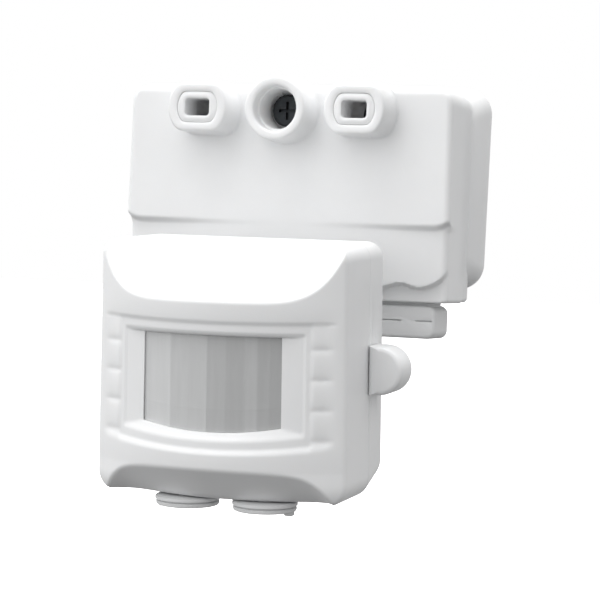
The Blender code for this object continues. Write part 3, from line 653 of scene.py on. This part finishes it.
def head_front():
    """Front shell: the curved front with its relief and open window, its inner side, and the rim."""
    zeta = corner_rows(HEAD_LOW, HEAD_HIGH, HEAD_CORNER, 0.34, (LENS_LOW, LENS_TOP), CHIN_CORNER)
    middle_us = spaced(-SIDE_START, SIDE_START, 0.4, (-LENS_HALF, LENS_HALF)) / HEAD_HALF
    edge_us = (SIDE_START + (HEAD_HALF - SIDE_START) * np.sin(quarter_turn(10))) / HEAD_HALF
    us = np.concatenate([-edge_us[::-1], middle_us, edge_us])
    xs = outline_grid(us, zeta, HEAD_HALF, HEAD_LOW, HEAD_HIGH, HEAD_CORNER, CHIN_CORNER)
    level = np.repeat(zeta[:, None], len(us), axis=1)
    zs = level + smile(level) * np.minimum(np.abs(xs), 33.0) ** 2
    full = np.repeat(us[None, :] * HEAD_HALF, len(zeta), axis=0)
    relief = front_depth(xs, level, zs) + chin_depth(xs, zs)
    ys = soft_max(front_arc(full) + relief, plain_arc(xs) + visor_depth(xs, zs), 0.8)
    ys = ys + end_round(zs, HEAD_LOW, HEAD_HIGH, EDGE_ROUND)
    ys = np.minimum(ys, RIM - 4.5)
    outer = np.stack([xs, ys, zs], axis=-1)

    # the wall is thinner round the window, where the relief is deep
    thin = band(np.abs(xs), -FAR, 28.0, 1.0) * band(level, -22.5, 15.5, 1.0)
    wall = 2.0 - 0.9 * thin
    pull = 1 - 0.06 * smoothstep(25.0, HEAD_HALF, np.abs(xs))
    pull_z = 1 - 0.06 * smoothstep(24.0, 33.8, np.abs(zs))
    inner = np.stack([xs * pull, np.minimum(ys + wall, RIM - 1.5), zs * pull_z], axis=-1)
    outer, inner = widen(outer), widen(inner)

    cell_z = (zeta[1:] + zeta[:-1]) / 2
    cell_x = (us[1:] + us[:-1]) / 2 * HEAD_HALF
    window = (np.abs(cell_x) < LENS_HALF)[None, :] & ((cell_z > LENS_LOW) & (cell_z < LENS_TOP))[:, None]
    rim = border(outer)
    flat = rim[:, [0, 2]]
    side_end = RIM - 0.3
    rings = []
    for share in (0.35, 0.7):
        rings.append(np.column_stack([flat[:, 0], rim[:, 1] + (side_end - rim[:, 1]) * share, flat[:, 1]]))
    for amount, y in ((0.0, side_end), (0.03, RIM - 0.1), (0.1, RIM), (1.9, RIM), (2.05, RIM - 0.3)):
        rings.append(level_ring(inset(flat, amount), y))
    shape = grid_shell(outer, inner, ~window, rings)
    mesh_piece("head_front", shape, "sensor_head", ["head_front_shell"], "white_plastic", HEAD, SOFT_SHARP)


LENS_GAP, LENS_WALL = 2.6, 0.7
LENS_ROW = -9.8  # top of the lens's lowest row of facets
# x of each line between the lens's facets, and how far it stands out, as a share of LINE_RISE
LENS_LINES = ((-19.8, 0.0), (-11.4, 1.0), (-5.9, 0.3), (-0.4, 1.0), (4.9, 0.3), (10.1, 1.0), (16.6, 0.8),
              (19.8, 0.0))
LINE_RISE, LINE_WIDTH = 0.05, 0.35


def fresnel_lens():
    """Faceted milky lens: nearly flat strips between upright lines, with a lower row of smaller facets."""
    lines = np.array(LENS_LINES)[:, 0]
    step = 0.35
    xs = spaced(lines[0], lines[-1], step, tuple(lines))
    rows = spaced(LENS_LOW, LENS_TOP, step, (LENS_ROW,))
    rows[0] += 0.06
    rows[-1] -= 0.06
    radius = FRONT_R - LENS_GAP
    curve = ARC_CENTRE - np.sqrt(radius ** 2 - xs ** 2)
    strips = np.interp(xs, lines, ARC_CENTRE - np.sqrt(radius ** 2 - lines ** 2))
    profile = 0.25 * curve + 0.75 * strips
    for x, share in LENS_LINES:
        profile = profile - LINE_RISE * share * np.exp(-((xs - x) / LINE_WIDTH) ** 2)
    gx, level = np.meshgrid(xs, rows)
    gz = level + smile(level) * gx ** 2
    gy = np.repeat(profile[None, :], len(rows), axis=0)
    gy = gy - 0.03 * np.exp(-((level - LENS_ROW) / 0.3) ** 2) + 0.08 * np.clip((LENS_ROW - level) / 6, 0, 1)
    outer = np.stack([gx, gy, gz], axis=-1)
    inner = np.stack([gx, gy + LENS_WALL, gz], axis=-1)
    keep = np.ones((len(rows) - 1, len(xs) - 1), bool)
    shape = grid_shell(outer, inner, keep, [])
    mesh_piece("lens", shape, "sensor_head", ["fresnel_lens"], "lens_plastic", HEAD, sharp=12.0)


# ---- head rear

REAR_FACE, REAR_RIM, REAR_ROUND = 9.5, -3.83, 3.0
REAR_WALL, REAR_INNER_CORNER = 2.2, 2.4
CHAMFER_START, CHAMFER_RISE = -2.6, 4.3
POCKET = ((-8.2, -7.3, -8.5), (8.2, REAR_FACE + 2, 20.0))
POCKET_WALLS = ((-9.7, -8.8, -10.0), (9.7, REAR_FACE - 1.5, 21.5))
BOLT_HOLE = 2.35  # radius of the tilt bolt's hole
COUNTERBORE, COUNTERBORE_DEPTH = 3.2, 3.8
POSTS = [(side * 29.0, z) for side in (-1, 1) for z in (27.4, -28.2)]


def head_outline(amount, radius, lift=0.0):
    """The head's outline moved in by an amount, with its lower edge lifted."""
    low = (-HEAD_HALF + amount, HEAD_LOW + amount + lift)
    chin = radius + CHIN_CORNER - HEAD_CORNER
    return widen(rounded_rect(low, (HEAD_HALF - amount, HEAD_HIGH - amount), radius, low_radius=chin))


def box(low, high):
    """A plain box between two corners, as a tool to cut with or join on."""
    ring = np.array([(low[0], low[1]), (high[0], low[1]), (high[0], high[1]), (low[0], high[1])])
    return loft([(ring, low[2]), (ring, high[2])], "z")


def rod(radius, low, high, axis, centre=(0.0, 0.0)):
    """A plain round rod along an axis, as a tool to cut with."""
    ring = circle(radius, centre, 48)
    return loft([(ring, low), (ring, high)], axis)


def rear_lift(y):
    """The lower rear edge rises towards the back."""
    return CHAMFER_RISE * np.clip((y - CHAMFER_START) / (REAR_FACE - CHAMFER_START), 0, 1)


def head_rear():
    """Rear shell with rounded edges, the knuckle pocket, the bolt's hole and the screw counterbores."""
    rings = [(head_outline(REAR_ROUND + 0.4, 2.2, rear_lift(REAR_FACE)), REAR_FACE)]
    for i in range(1, 9):
        angle = pi / 2 * i / 8
        amount = REAR_ROUND * (1 - sin(angle))
        y = REAR_FACE - REAR_ROUND * (1 - cos(angle))
        rings.append((head_outline(amount, max(HEAD_CORNER - amount * 0.55, 1.0), rear_lift(y)), y))
    rings += [(head_outline(0.0, HEAD_CORNER, rear_lift(y)), y) for y in (3.0, 0.0, CHAMFER_START + 0.4)]
    rings += [(head_outline(0.0, HEAD_CORNER), CHAMFER_START),
              (head_outline(0.0, HEAD_CORNER), REAR_RIM + 0.3),
              (head_outline(0.1, HEAD_CORNER), REAR_RIM)]
    inside = REAR_FACE - REAR_WALL
    for y, lift in ((REAR_RIM, 0.0), (CHAMFER_START, 0.0), (inside, rear_lift(inside))):
        rings.append((head_outline(REAR_WALL, REAR_INNER_CORNER, lift), y))
    steps = [("UNION", box(*POCKET_WALLS)), ("DIFFERENCE", box(*POCKET)),
             ("DIFFERENCE", rod(BOLT_HOLE, -16.0, 40.0, "x"))]
    for post in POSTS:
        bore = rod(COUNTERBORE, REAR_FACE - COUNTERBORE_DEPTH, REAR_FACE + 1, "y", post)
        steps.append(("DIFFERENCE", bore))
    cut_and_join("head_rear", loft(rings, "y"), steps, "sensor_head", ["head_rear_shell"],
                 "white_plastic", HEAD, edge=0.35)


DIAL_X, DIAL_Y, DIAL_TOP = 11.4, -17.5, HEAD_LOW - 0.3
KNURLS = 36
# from the shaft down over the rim and the lower tier to the slotted face: radius, drop, depth of the knurl
DIAL_PROFILE = ((2.6, -8.2, 0), (2.6, 0, 0), (8.6, 0, 0), (8.9, 0.15, 0), (9.0, 0.4, 0), (9.0, 0.9, 0),
                (8.8, 1.05, 0), (8.1, 1.1, 0), (8.1, 1.3, 0), (8.5, 1.4, 0.03), (8.7, 1.6, 0.07),
                (8.65, 2.3, 0.07), (8.4, 2.55, 0.03), (8.0, 2.6, 0), (6.6, 2.6, 0), (6.3, 2.4, 0),
                (2.0, 2.4, 0), (1.2, 2.4, 0))


def dial(name, node, body, side):
    """Two-tier adjustment knob with a knurled rim, a screwdriver slot and a pointer nib."""
    x, y, top = side * DIAL_X, DIAL_Y, DIAL_TOP
    angle = np.arange(KNURLS * 4) * 2 * pi / (KNURLS * 4)
    rings = []
    for radius, drop, knurl in DIAL_PROFILE:
        r = radius + knurl * np.cos(angle * KNURLS)
        rings.append((np.column_stack([x + r * np.cos(angle), y + r * np.sin(angle)]), top - drop))
    end = x + side * 8.4
    low, high = sorted((end, end - side * 2.6))
    outline = rounded_rect((low, y - 1.15), (high, y + 1.15), 0.5, steps=5)
    nib = loft([(inset(outline, 0.35), top - 3.7), (inset(outline, 0.1), top - 3.55), (outline, top - 3.2),
                (outline, top - 2.2)], "z")
    slot_cut = box((x - 3.6, y - 0.6, top - 5), (x + 3.6, y + 0.6, top - 2.0))
    steps = [("UNION", nib), ("DIFFERENCE", slot_cut)]
    cut_and_join(name, loft(rings, "z"), steps, body, [node], "knob_plastic", HEAD)


def clamp_knob():
    """The tilt clamp's thumb knob: a flat tab with a round end."""
    inner, tip, radius = HEAD_HALF + 0.12, HEAD_HALF + 9.8, 6.7
    front, back = -5.8, 4.4
    points = [(inner, -radius)]
    for i in range(41):
        angle = radians(-90 + 180 * i / 40)
        points.append((tip - radius + radius * cos(angle), radius * sin(angle)))
    points.append((inner, radius))

    def ring(amount):
        outline = inset(points, amount)
        outline[:, 0] = np.maximum(outline[:, 0], inner)
        return outline

    rings = [(ring(a), y) for a, y in edge_arc(1.5, front, 1, 6)]
    rings += [(ring(a), y) for a, y in reversed(edge_arc(1.0, back, -1, 5))]
    steps = [("DIFFERENCE", rod(BOLT_HOLE, 30.0, HEAD_HALF + 5.7, "x"))]
    cut_and_join("clamp_knob", loft(rings, "y"), steps, "tilt_lock", ["tilt_knob"], "white_plastic", HEAD)


# ---- wall box

COVER_HALF, COVER_LOW, COVER_HIGH, COVER_CORNER = 49.0, -31.5, 29.4, 5.0
SKIRT_CORNER = 1.2
SIDE_FLAT = 47.2  # where the cover's front starts to round over to its sides
FACE_Y, COVER_RIM = -34.0, -14.1
STEP_Z = -10.4  # the step between the upper panel and the lower one
NOTCH_X = 35.6  # middle of the round notch in the lower panel's border
BOSS_X, BOSS_Z, BOSS_FACE = 23.8, 22.1, -45.0
BOSS_SHARP = 40.0
TUBE_END = -20.0  # where a side boss's tube ends behind the cover's face
INSERT_END = -36.0
FLANGE_HALF, FLANGE_LOW, FLANGE_HIGH, FLANGE_CORNER = 51.8, -27.5, 31.4, 7.5
FLANGE_TAPER = 0.00022  # growth of the flange's half width for each millimetre upwards
BACK_SHARP = 16.0  # keeps the flat back flat beside its small bevels
GLAND_X, GLAND_Y, GLAND_HOLE = 33.4, -22.0, 3.2


def cover_width(z):
    """Half width of the cover's front: the upper part overhangs the lower part with a rounded lower end."""
    lower = 48.9
    upper = 49.2 + 0.5 * np.clip((COVER_HIGH - z) / (COVER_HIGH - STEP_Z), 0, 1)
    fall = np.clip((STEP_Z + 2.6 - z) / 3.6, 0, 1)
    return lower + (upper - lower) * (1 - fall ** 2)


def cover_face(x, z):
    """y of the cover's front: the flat upper panel, the receding lower panel and the skirt under it."""
    ax = np.abs(x)
    lower = 0.04 + 1.9 * (ax / COVER_HALF) ** 2
    # the step between the panels curves down a little at the corners
    step = smoothstep(STEP_Z - 0.9, STEP_Z + 0.9, z - 1.3 * np.clip((ax - 43.5) / 5.5, 0, 1) ** 3)
    face = FACE_Y + lower * (1 - step)
    # lower border with its round corners and the round notch over each gland
    notch = 1.6 * np.exp(-((ax - NOTCH_X) / 4.0) ** 2)
    corner = 11.0
    lift = np.clip((ax - (COVER_HALF - corner)) / corner, 0, 1)
    edge = -27.9 + notch + corner * 0.6 * round_off(lift)
    skirt = 1 - smoothstep(edge - 0.5, edge + 0.35, z)
    return face + (3.6 - lower) * skirt


def cover():
    """Front cover: its face, side walls, rim and inner side, open behind each boss."""
    zs = corner_rows(COVER_LOW, COVER_HIGH, COVER_CORNER, 0.4, low_corner=SKIRT_CORNER)
    edge = SIDE_FLAT + (COVER_HALF - SIDE_FLAT) * np.sin(quarter_turn(10))
    us = np.concatenate([-edge[::-1], spaced(-SIDE_FLAT, SIDE_FLAT, 0.55), edge]) / COVER_HALF
    xs = outline_grid(us, zs, COVER_HALF, COVER_LOW, COVER_HIGH, COVER_CORNER, SKIRT_CORNER)
    level = np.repeat(zs[:, None], len(us), axis=1)
    rim = border(np.stack([xs, level], axis=-1))
    xs = xs * cover_width(zs)[:, None] / COVER_HALF
    full = np.repeat(us[None, :] * COVER_HALF, len(zs), axis=0)
    ys = cover_face(xs, level)
    ys = ys + 1.6 * round_off(np.clip((np.abs(full) - SIDE_FLAT) / (COVER_HALF - SIDE_FLAT), 0, 1))
    ys = ys + 2.2 * round_off(np.clip((level - COVER_HIGH + 2.4) / 2.4, 0, 1))
    ys = ys + 0.6 * round_off(np.clip((COVER_LOW + 0.6 - level) / 0.6, 0, 1))
    outer = np.stack([xs, ys, level], axis=-1)
    wall = 2.2
    pull = 1 - 0.045 * smoothstep(30.0, COVER_HALF, np.abs(xs))
    pull_z = 1 - 0.07 * smoothstep(15.0, 30.0, np.abs(level))
    inner = np.stack([xs * pull, np.minimum(ys + wall, COVER_RIM - 1.0), level * pull_z], axis=-1)

    cell_x, cell_z = np.meshgrid((us[1:] + us[:-1]) / 2 * COVER_HALF, (zs[1:] + zs[:-1]) / 2)
    hole = np.zeros_like(cell_x, bool)
    for x in (-BOSS_X, 0.0, BOSS_X):
        hole |= (cell_x - x) ** 2 + (cell_z - BOSS_Z) ** 2 < 6.2 ** 2
    front = border(outer)
    rings = []
    for share in (0.12, 0.3, 0.6):
        across = front[:, 0] + (rim[:, 0] - front[:, 0]) * min(share * 3, 1)
        back = front[:, 1] + (COVER_RIM - 1 - front[:, 1]) * share
        rings.append(np.column_stack([across, back, rim[:, 1]]))
    for amount, y in ((0.0, COVER_RIM - 0.3), (0.05, COVER_RIM - 0.1), (0.15, COVER_RIM), (1.9, COVER_RIM),
                      (2.0, COVER_RIM - 0.4)):
        rings.append(level_ring(inset(rim, amount), y))
    shape = grid_shell(outer, inner, ~hole, rings)
    mesh_piece("box_cover", shape, "wall_box", ["front_cover"], "white_plastic", sharp=SOFT_SHARP)


def boss(name, outline, bore, inside):
    """A screw boss that flows out of the cover's face, with its bore behind the rim."""
    rings = [(outline(-0.2), FACE_Y + 2.0), (outline(0.9), FACE_Y + 1.2), (outline(0.9), FACE_Y - 0.02)]
    for i in range(1, 6):
        angle = pi / 2 * i / 5
        rings.append((outline(0.6 * (1 - sin(angle)) + 0.25), FACE_Y - 0.04 - 0.8 * (1 - cos(angle))))
    rings.append((outline(0.15), FACE_Y - 6.0))
    for extra, back in ((0.0, 1.0), (-0.1, 0.45), (-0.35, 0.12), (-0.75, 0.0)):
        rings.append((outline(extra), BOSS_FACE + back))
    rings += [(bore(extra), y) for extra, y in inside]
    mesh_piece(name, loft(rings, "y", closed=True), "wall_box", (), "white_plastic", sharp=BOSS_SHARP)


def bosses():
    """The round middle boss with its stepped bore, and the two side bosses with their slotted inserts."""
    def round_ring(extra):
        return circle(9.1 + extra, (0.0, BOSS_Z), 96)

    def bore_ring(radius):
        return circle(radius, (0.0, BOSS_Z), 96)

    boss("centre_boss", round_ring, bore_ring,
         [(7.3, BOSS_FACE), (6.8, BOSS_FACE + 0.12), (6.5, BOSS_FACE + 0.5), (6.45, BOSS_FACE + 3.2),
          (6.3, BOSS_FACE + 3.5), (5.9, BOSS_FACE + 3.6), (5.7, BOSS_FACE + 3.9), (5.6, -31.0), (2.4, -31.0),
          (2.4, -28.6), (7.0, -28.6)])
    for side, label in ((-1, "left"), (1, "right")):
        centre = (side * BOSS_X, BOSS_Z)

        def side_ring(extra, centre=centre):
            return flat_circle(9.1 + extra, 7.0 + extra, centre)

        def pocket(extra, centre=centre):
            return flat_circle(6.2 + extra, 4.5 + extra, centre)

        boss(f"{label}_boss", side_ring, pocket,
             [(0.9, BOSS_FACE), (0.5, BOSS_FACE + 0.08), (0.2, BOSS_FACE + 0.18), (0.0, BOSS_FACE + 0.3),
              (0.0, -35.7), (-0.9, -35.7), (-0.9, TUBE_END), (0.0, TUBE_END)])
        insert(label, centre)


def insert(label, centre):
    """The slotted insert in a side boss: a raised inner rim around the slot."""
    def body(extra):
        ring = flat_circle(6.1 + extra, 4.4 + extra, centre)
        return resample(ring, len(ring))

    def slot_ring(extra):
        low = (centre[0] - 3.7 - extra, centre[1] - 2.5 - extra)
        high = (centre[0] + 3.7 + extra, centre[1] + 2.5 + extra)
        return resample(rounded_rect(low, high, 1.0 + extra, steps=16), len(body(0.0)))

    rings = [(body(0.0), INSERT_END), (body(0.0), BOSS_FACE + 0.4), (body(-0.25), BOSS_FACE + 0.28),
             (body(-0.6), BOSS_FACE + 0.24)]
    for extra, back in ((1.5, 0.24), (1.2, 0.12), (0.9, 0.05), (0.45, 0.05), (0.12, 0.2), (0.0, 0.55)):
        rings.append((slot_ring(extra), BOSS_FACE + back))
    rings.append((slot_ring(0.0), INSERT_END))
    mesh_piece(f"{label}_insert", loft(rings, "y", closed=True), "wall_box", [f"screw_insert_{label}"],
               "insert_plastic", sharp=BOSS_SHARP)


def resample(ring, count):
    """The same closed outline with evenly spaced points, starting at its leftmost middle point."""
    ring = np.asarray(ring, float)
    centre = (ring.max(0) + ring.min(0)) / 2
    angle = np.arctan2(ring[:, 1] - centre[1], ring[:, 0] - centre[0])
    ring = ring[np.argsort(angle)]
    closed = np.vstack([ring, ring[:1]])
    length = np.concatenate([[0], np.cumsum(np.hypot(*np.diff(closed, axis=0).T))])
    wanted = np.linspace(0, length[-1], count, endpoint=False)
    return np.column_stack([np.interp(wanted, length, closed[:, k]) for k in (0, 1)])


def flange_outline(amount, radius):
    """The back plate's outline, moved in by an amount. It is a little narrower towards the bottom."""
    half = FLANGE_HALF - amount
    ring = rounded_rect((-half, FLANGE_LOW + amount), (half, FLANGE_HIGH - amount), radius)
    ring[:, 0] *= 1 + FLANGE_TAPER * ring[:, 1]
    return ring


def base():
    """Back plate: flat back, full round flange, valley, and the neck that meets the seal."""
    rings = []
    for amount, radius, y in ((3.4, 4.1, 0.0), (1.4, 6.1, 0.0), (0.6, 6.9, -0.25), (0.15, 7.3, -0.9),
                              (0.0, FLANGE_CORNER, -1.8), (0.0, FLANGE_CORNER, -3.0)):
        rings.append((flange_outline(amount, radius), y))
    for i in range(1, 13):
        angle = pi / 2 * i / 12
        rings.append((flange_outline(4.6 * (1 - cos(angle)), FLANGE_CORNER), -3.0 - 8.5 * sin(angle)))
    neck = rounded_rect((-48.7, -31.2), (48.7, 29.1), COVER_CORNER, low_radius=SKIRT_CORNER)
    steps = [("UNION", loft([(neck, -8.5), (neck, -13.6), (inset(neck, 0.15), -13.8)], "y"))]
    for side in (-1, 1):
        x = side * BOSS_X
        slot = rounded_rect((x - 3.8, BOSS_Z - 2.6), (x + 3.8, BOSS_Z + 2.6), 1.1, steps=6)
        steps.append(("DIFFERENCE", loft([(slot, 1.0), (slot, -14.0)], "y")))
    cut_and_join("box_base", loft(rings, "y"), steps, "wall_box", ["rear_base"], "white_plastic",
                 edge=0.3, sharp=BACK_SHARP)


def gland(side, label):
    """Rounded cable gland block with moulded slits across its face and a round cable hole."""
    x, y = side * GLAND_X, GLAND_Y
    ring = rounded_rect((x - 11.8, -41.8), (x + 11.8, -32.4), 2.3, steps=10)
    front, back = y - 7.0, y + 7.0
    rings = [(inset(ring, a), depth) for a, depth in edge_arc(1.0, front, 1, 4)]
    rings += [(inset(ring, a), depth) for a, depth in reversed(edge_arc(1.0, back, -1, 4))]
    neck = rounded_rect((x - 6.0, y - 4.8), (x + 6.0, y + 4.8), 1.5, steps=6)
    shoulder = rounded_rect((x - 10.4, y - 5.2), (x + 10.4, y + 5.2), 2.0, steps=6)
    mouth = loft([(circle(GLAND_HOLE + 1.0, (x, y), 48), -42.3), (circle(3.0, (x, y), 48), -40.8)], "z")
    steps = [("UNION", loft([(neck, -34.4), (neck, -27.5)], "z")),
             ("UNION", loft([(shoulder, -34.0), (shoulder, -31.6)], "z")),
             ("DIFFERENCE", rod(GLAND_HOLE, -43.0, -27.0, "z", (x, y))),
             ("DIFFERENCE", mouth)]
    for offset, half in ((-1.5, 3.4), (8.6, 2.4)):
        middle = x + side * offset
        slit = box((middle - half, front - 1.0, -36.95), (middle + half, front + 0.8, -36.55))
        steps.append(("DIFFERENCE", slit))
    cut_and_join(f"gland_{label}", loft(rings, "y"), steps, "wall_box", [f"cable_gland_{label}"],
                 "gland_plastic", edge=0.2)


# ---- swivel arm

def smooth_path(points, count):
    """Points on a smooth curve through the given ones."""
    points = np.array(points, float)
    ends = np.vstack([2 * points[0] - points[1], points, 2 * points[-1] - points[-2]])
    result = []
    for i in range(1, len(ends) - 2):
        p0, p1, p2, p3 = ends[i - 1:i + 3]
        for t in np.linspace(0, 1, count, endpoint=False):
            result.append(0.5 * (2 * p1 + (p2 - p0) * t + (2 * p0 - 5 * p1 + 4 * p2 - p3) * t ** 2
                                 + (3 * p1 - p0 - 3 * p2 + p3) * t ** 3))
    result.append(ends[-2])
    return np.array(result)


# the beam's middle line from the collar to the knuckle: y, z, half its thickness
BEAM = ((-24.0, -35.4, 2.0), (-38.0, -38.4, 3.6), (-47.0, -42.6, 3.4), (-54.5, -49.8, 3.0))
# the collar and the spigot above it: radius, z
COLLAR = ((9.4, -37.5), (10.1, -37.3), (10.5, -36.7), (10.5, -33.2), (10.3, -33.0), (5.2, -33.0),
          (5.2, -24.5))
KNUCKLE = ((5.6, -6.5), (6.0, -6.2), (6.0, 6.2), (5.6, 6.5))


def arm():
    """Collar and hollow spigot, a softly squared beam, and the knuckle on the tilt bolt."""
    path = smooth_path(BEAM, 8)
    beam = Shape()
    rows = []
    for i, (y, z, half) in enumerate(path):
        before, after = path[max(i - 1, 0)], path[min(i + 1, len(path) - 1)]
        run = np.array([after[0] - before[0], after[1] - before[1]])
        run = run / np.hypot(*run)
        section = rounded_rect((-6.0, -half), (6.0, half), 1.6, steps=6)
        rows.append(beam.add([(u, y - run[1] * v, z + run[0] * v) for u, v in section]))
    for low, high in zip(rows, rows[1:]):
        beam.bridge(low, high)
    beam.cap(rows[0])
    beam.cap(rows[-1])
    pan, tilt = (0.0, PAN[1]), (TILT[1], TILT[2])
    collar = loft([(circle(radius, pan), z) for radius, z in COLLAR], "z")
    knuckle = loft([(circle(radius, tilt), x) for radius, x in KNUCKLE], "x")
    steps = [("UNION", beam), ("UNION", knuckle), ("DIFFERENCE", rod(3.1, -33.5, -20.0, "z", pan)),
             ("DIFFERENCE", rod(BOLT_HOLE, -20.0, 20.0, "x", tilt))]
    cut_and_join("arm", collar, steps, "swivel_arm", ["swivel_arm"], "white_plastic")


def finish_cad_nodes():
    """Give each CAD node the finish of its slot in the record."""
    for entry in frame["record"]["subparts"]:
        node = NODES[entry["node"]]
        finish = FINISHES[entry["material_slot"]]
        if not node.material_slots:
            node.data.materials.append(finish)
        for slot in node.material_slots:
            slot.material = finish


# ---- stage, light and camera

FLOOR_HALF, FLOOR_DROP = 6.0, 0.03  # in metres; the drop is below the object's lowest point
WORLD_LOW, WORLD_HIGH = 0.05, 1.45  # light from straight below and from straight above
WORLD_LEFT, WORLD_RIGHT = 1.1, 0.72  # what that light is multiplied by on each side
AIM = (0, -0.05, -0.03)


def stage():
    """Plain white floor that the camera sees and that doesn't light the object."""
    half, level = FLOOR_HALF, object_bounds()[0].z - FLOOR_DROP
    verts = [(-half, -half, level), (half, -half, level), (half, half, level), (-half, half, level)]
    mesh = bpy.data.meshes.new("floor")
    mesh.from_pydata(verts, [], [(0, 1, 2, 3)])
    mat, tree, shader = new_material("floor_paper", (0.95, 0.95, 0.95), 0.9)
    paper = ramp(tree, noise(tree, scale=3.0), (0.945, 0.945, 0.945), (0.955, 0.955, 0.955))
    tree.links.new(paper, shader.inputs["Base Color"])
    fill(shader, {"Emission Color": (1, 1, 1, 1), "Emission Strength": 1.0})
    mesh.materials.append(mat)
    floor = bpy.data.objects.new("floor", mesh)
    floor.visible_diffuse = False
    floor.visible_glossy = False
    bpy.context.scene.collection.objects.link(floor)
    floor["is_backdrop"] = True


def world():
    """Soft surround: bright overhead, dimmer to the right and below, and plain white to the camera."""
    surround = bpy.data.worlds.new("studio")
    bpy.context.scene.world = surround
    surround.use_nodes = True
    tree = surround.node_tree
    tree.nodes.clear()
    coords = add_node(tree, "TexCoord").outputs["Generated"]
    split = add_node(tree, "SeparateXYZ", links={"Vector": coords})
    upward = map_range(tree, split.outputs["Z"], WORLD_LOW, WORLD_HIGH, -1.0, 1.0)
    sideways = map_range(tree, split.outputs["X"], WORLD_LEFT, WORLD_RIGHT, -1.0, 1.0)
    strength = add_node(tree, "Math", links={0: upward, 1: sideways})
    strength.operation = "MULTIPLY"
    white = (1, 1, 1, 1)
    light = add_node(tree, "Background", {"Color": white}, {"Strength": strength.outputs[0]})
    plain = add_node(tree, "Background", {"Color": white, "Strength": 1.0})
    seen = add_node(tree, "LightPath").outputs["Is Camera Ray"]
    mix = add_node(tree, "MixShader", links={0: seen, 1: light.outputs[0], 2: plain.outputs[0]})
    add_node(tree, "OutputWorld", links={"Surface": mix.outputs[0]})


def area_light(name, place, size, power):
    """A round soft light that faces the object and isn't seen itself."""
    data = bpy.data.lights.new(name, "AREA")
    data.shape = "DISK"
    data.size = size
    data.energy = power
    obj = bpy.data.objects.new(name, data)
    obj.location = place
    obj.rotation_euler = (Vector(AIM) - Vector(place)).to_track_quat("-Z", "Y").to_euler()
    bpy.context.scene.collection.objects.link(obj)
    obj.visible_camera = False


def camera():
    """Camera to the right of the face and a little above it, slightly rolled."""
    place = Vector((222.7, -628.9, -21.2)) * MM
    azimuth, elevation, roll = radians(20.0), radians(1.0), radians(2.3)
    forward = Vector((-sin(azimuth) * cos(elevation), cos(azimuth) * cos(elevation), -sin(elevation)))
    right = Vector((cos(azimuth), sin(azimuth), 0.0))
    up = right.cross(forward)
    across = right * cos(roll) + up * sin(roll)
    upright = -right * sin(roll) + up * cos(roll)
    data = bpy.data.cameras.new("camera")
    data.lens = 132.0
    data.sensor_width = 36.0
    data.clip_start, data.clip_end = 0.01, 50.0
    obj = bpy.data.objects.new("camera", data)
    rotation = Matrix((across, upright, -forward)).transposed().to_4x4()
    obj.matrix_world = Matrix.Translation(place) @ rotation
    bpy.context.scene.collection.objects.link(obj)
    bpy.context.scene.camera = obj


camera()
head_front()
fresnel_lens()
head_rear()
dial("dial_left", "time_knob", "time_dial", -1)
dial("dial_right", "lux_knob", "lux_dial", 1)
clamp_knob()
cover()
bosses()
base()
gland(-1, "left")
gland(1, "right")
arm()
finish_cad_nodes()
stage()
world()
area_light("overhead", (-0.2, -0.15, 1.0), size=1.0, power=8.0)
area_light("front_left", (-0.7, -1.2, 0.45), size=1.6, power=3.5)
bpy.context.scene.view_settings.view_transform = "Standard"
bpy.context.scene.view_settings.look = "None"
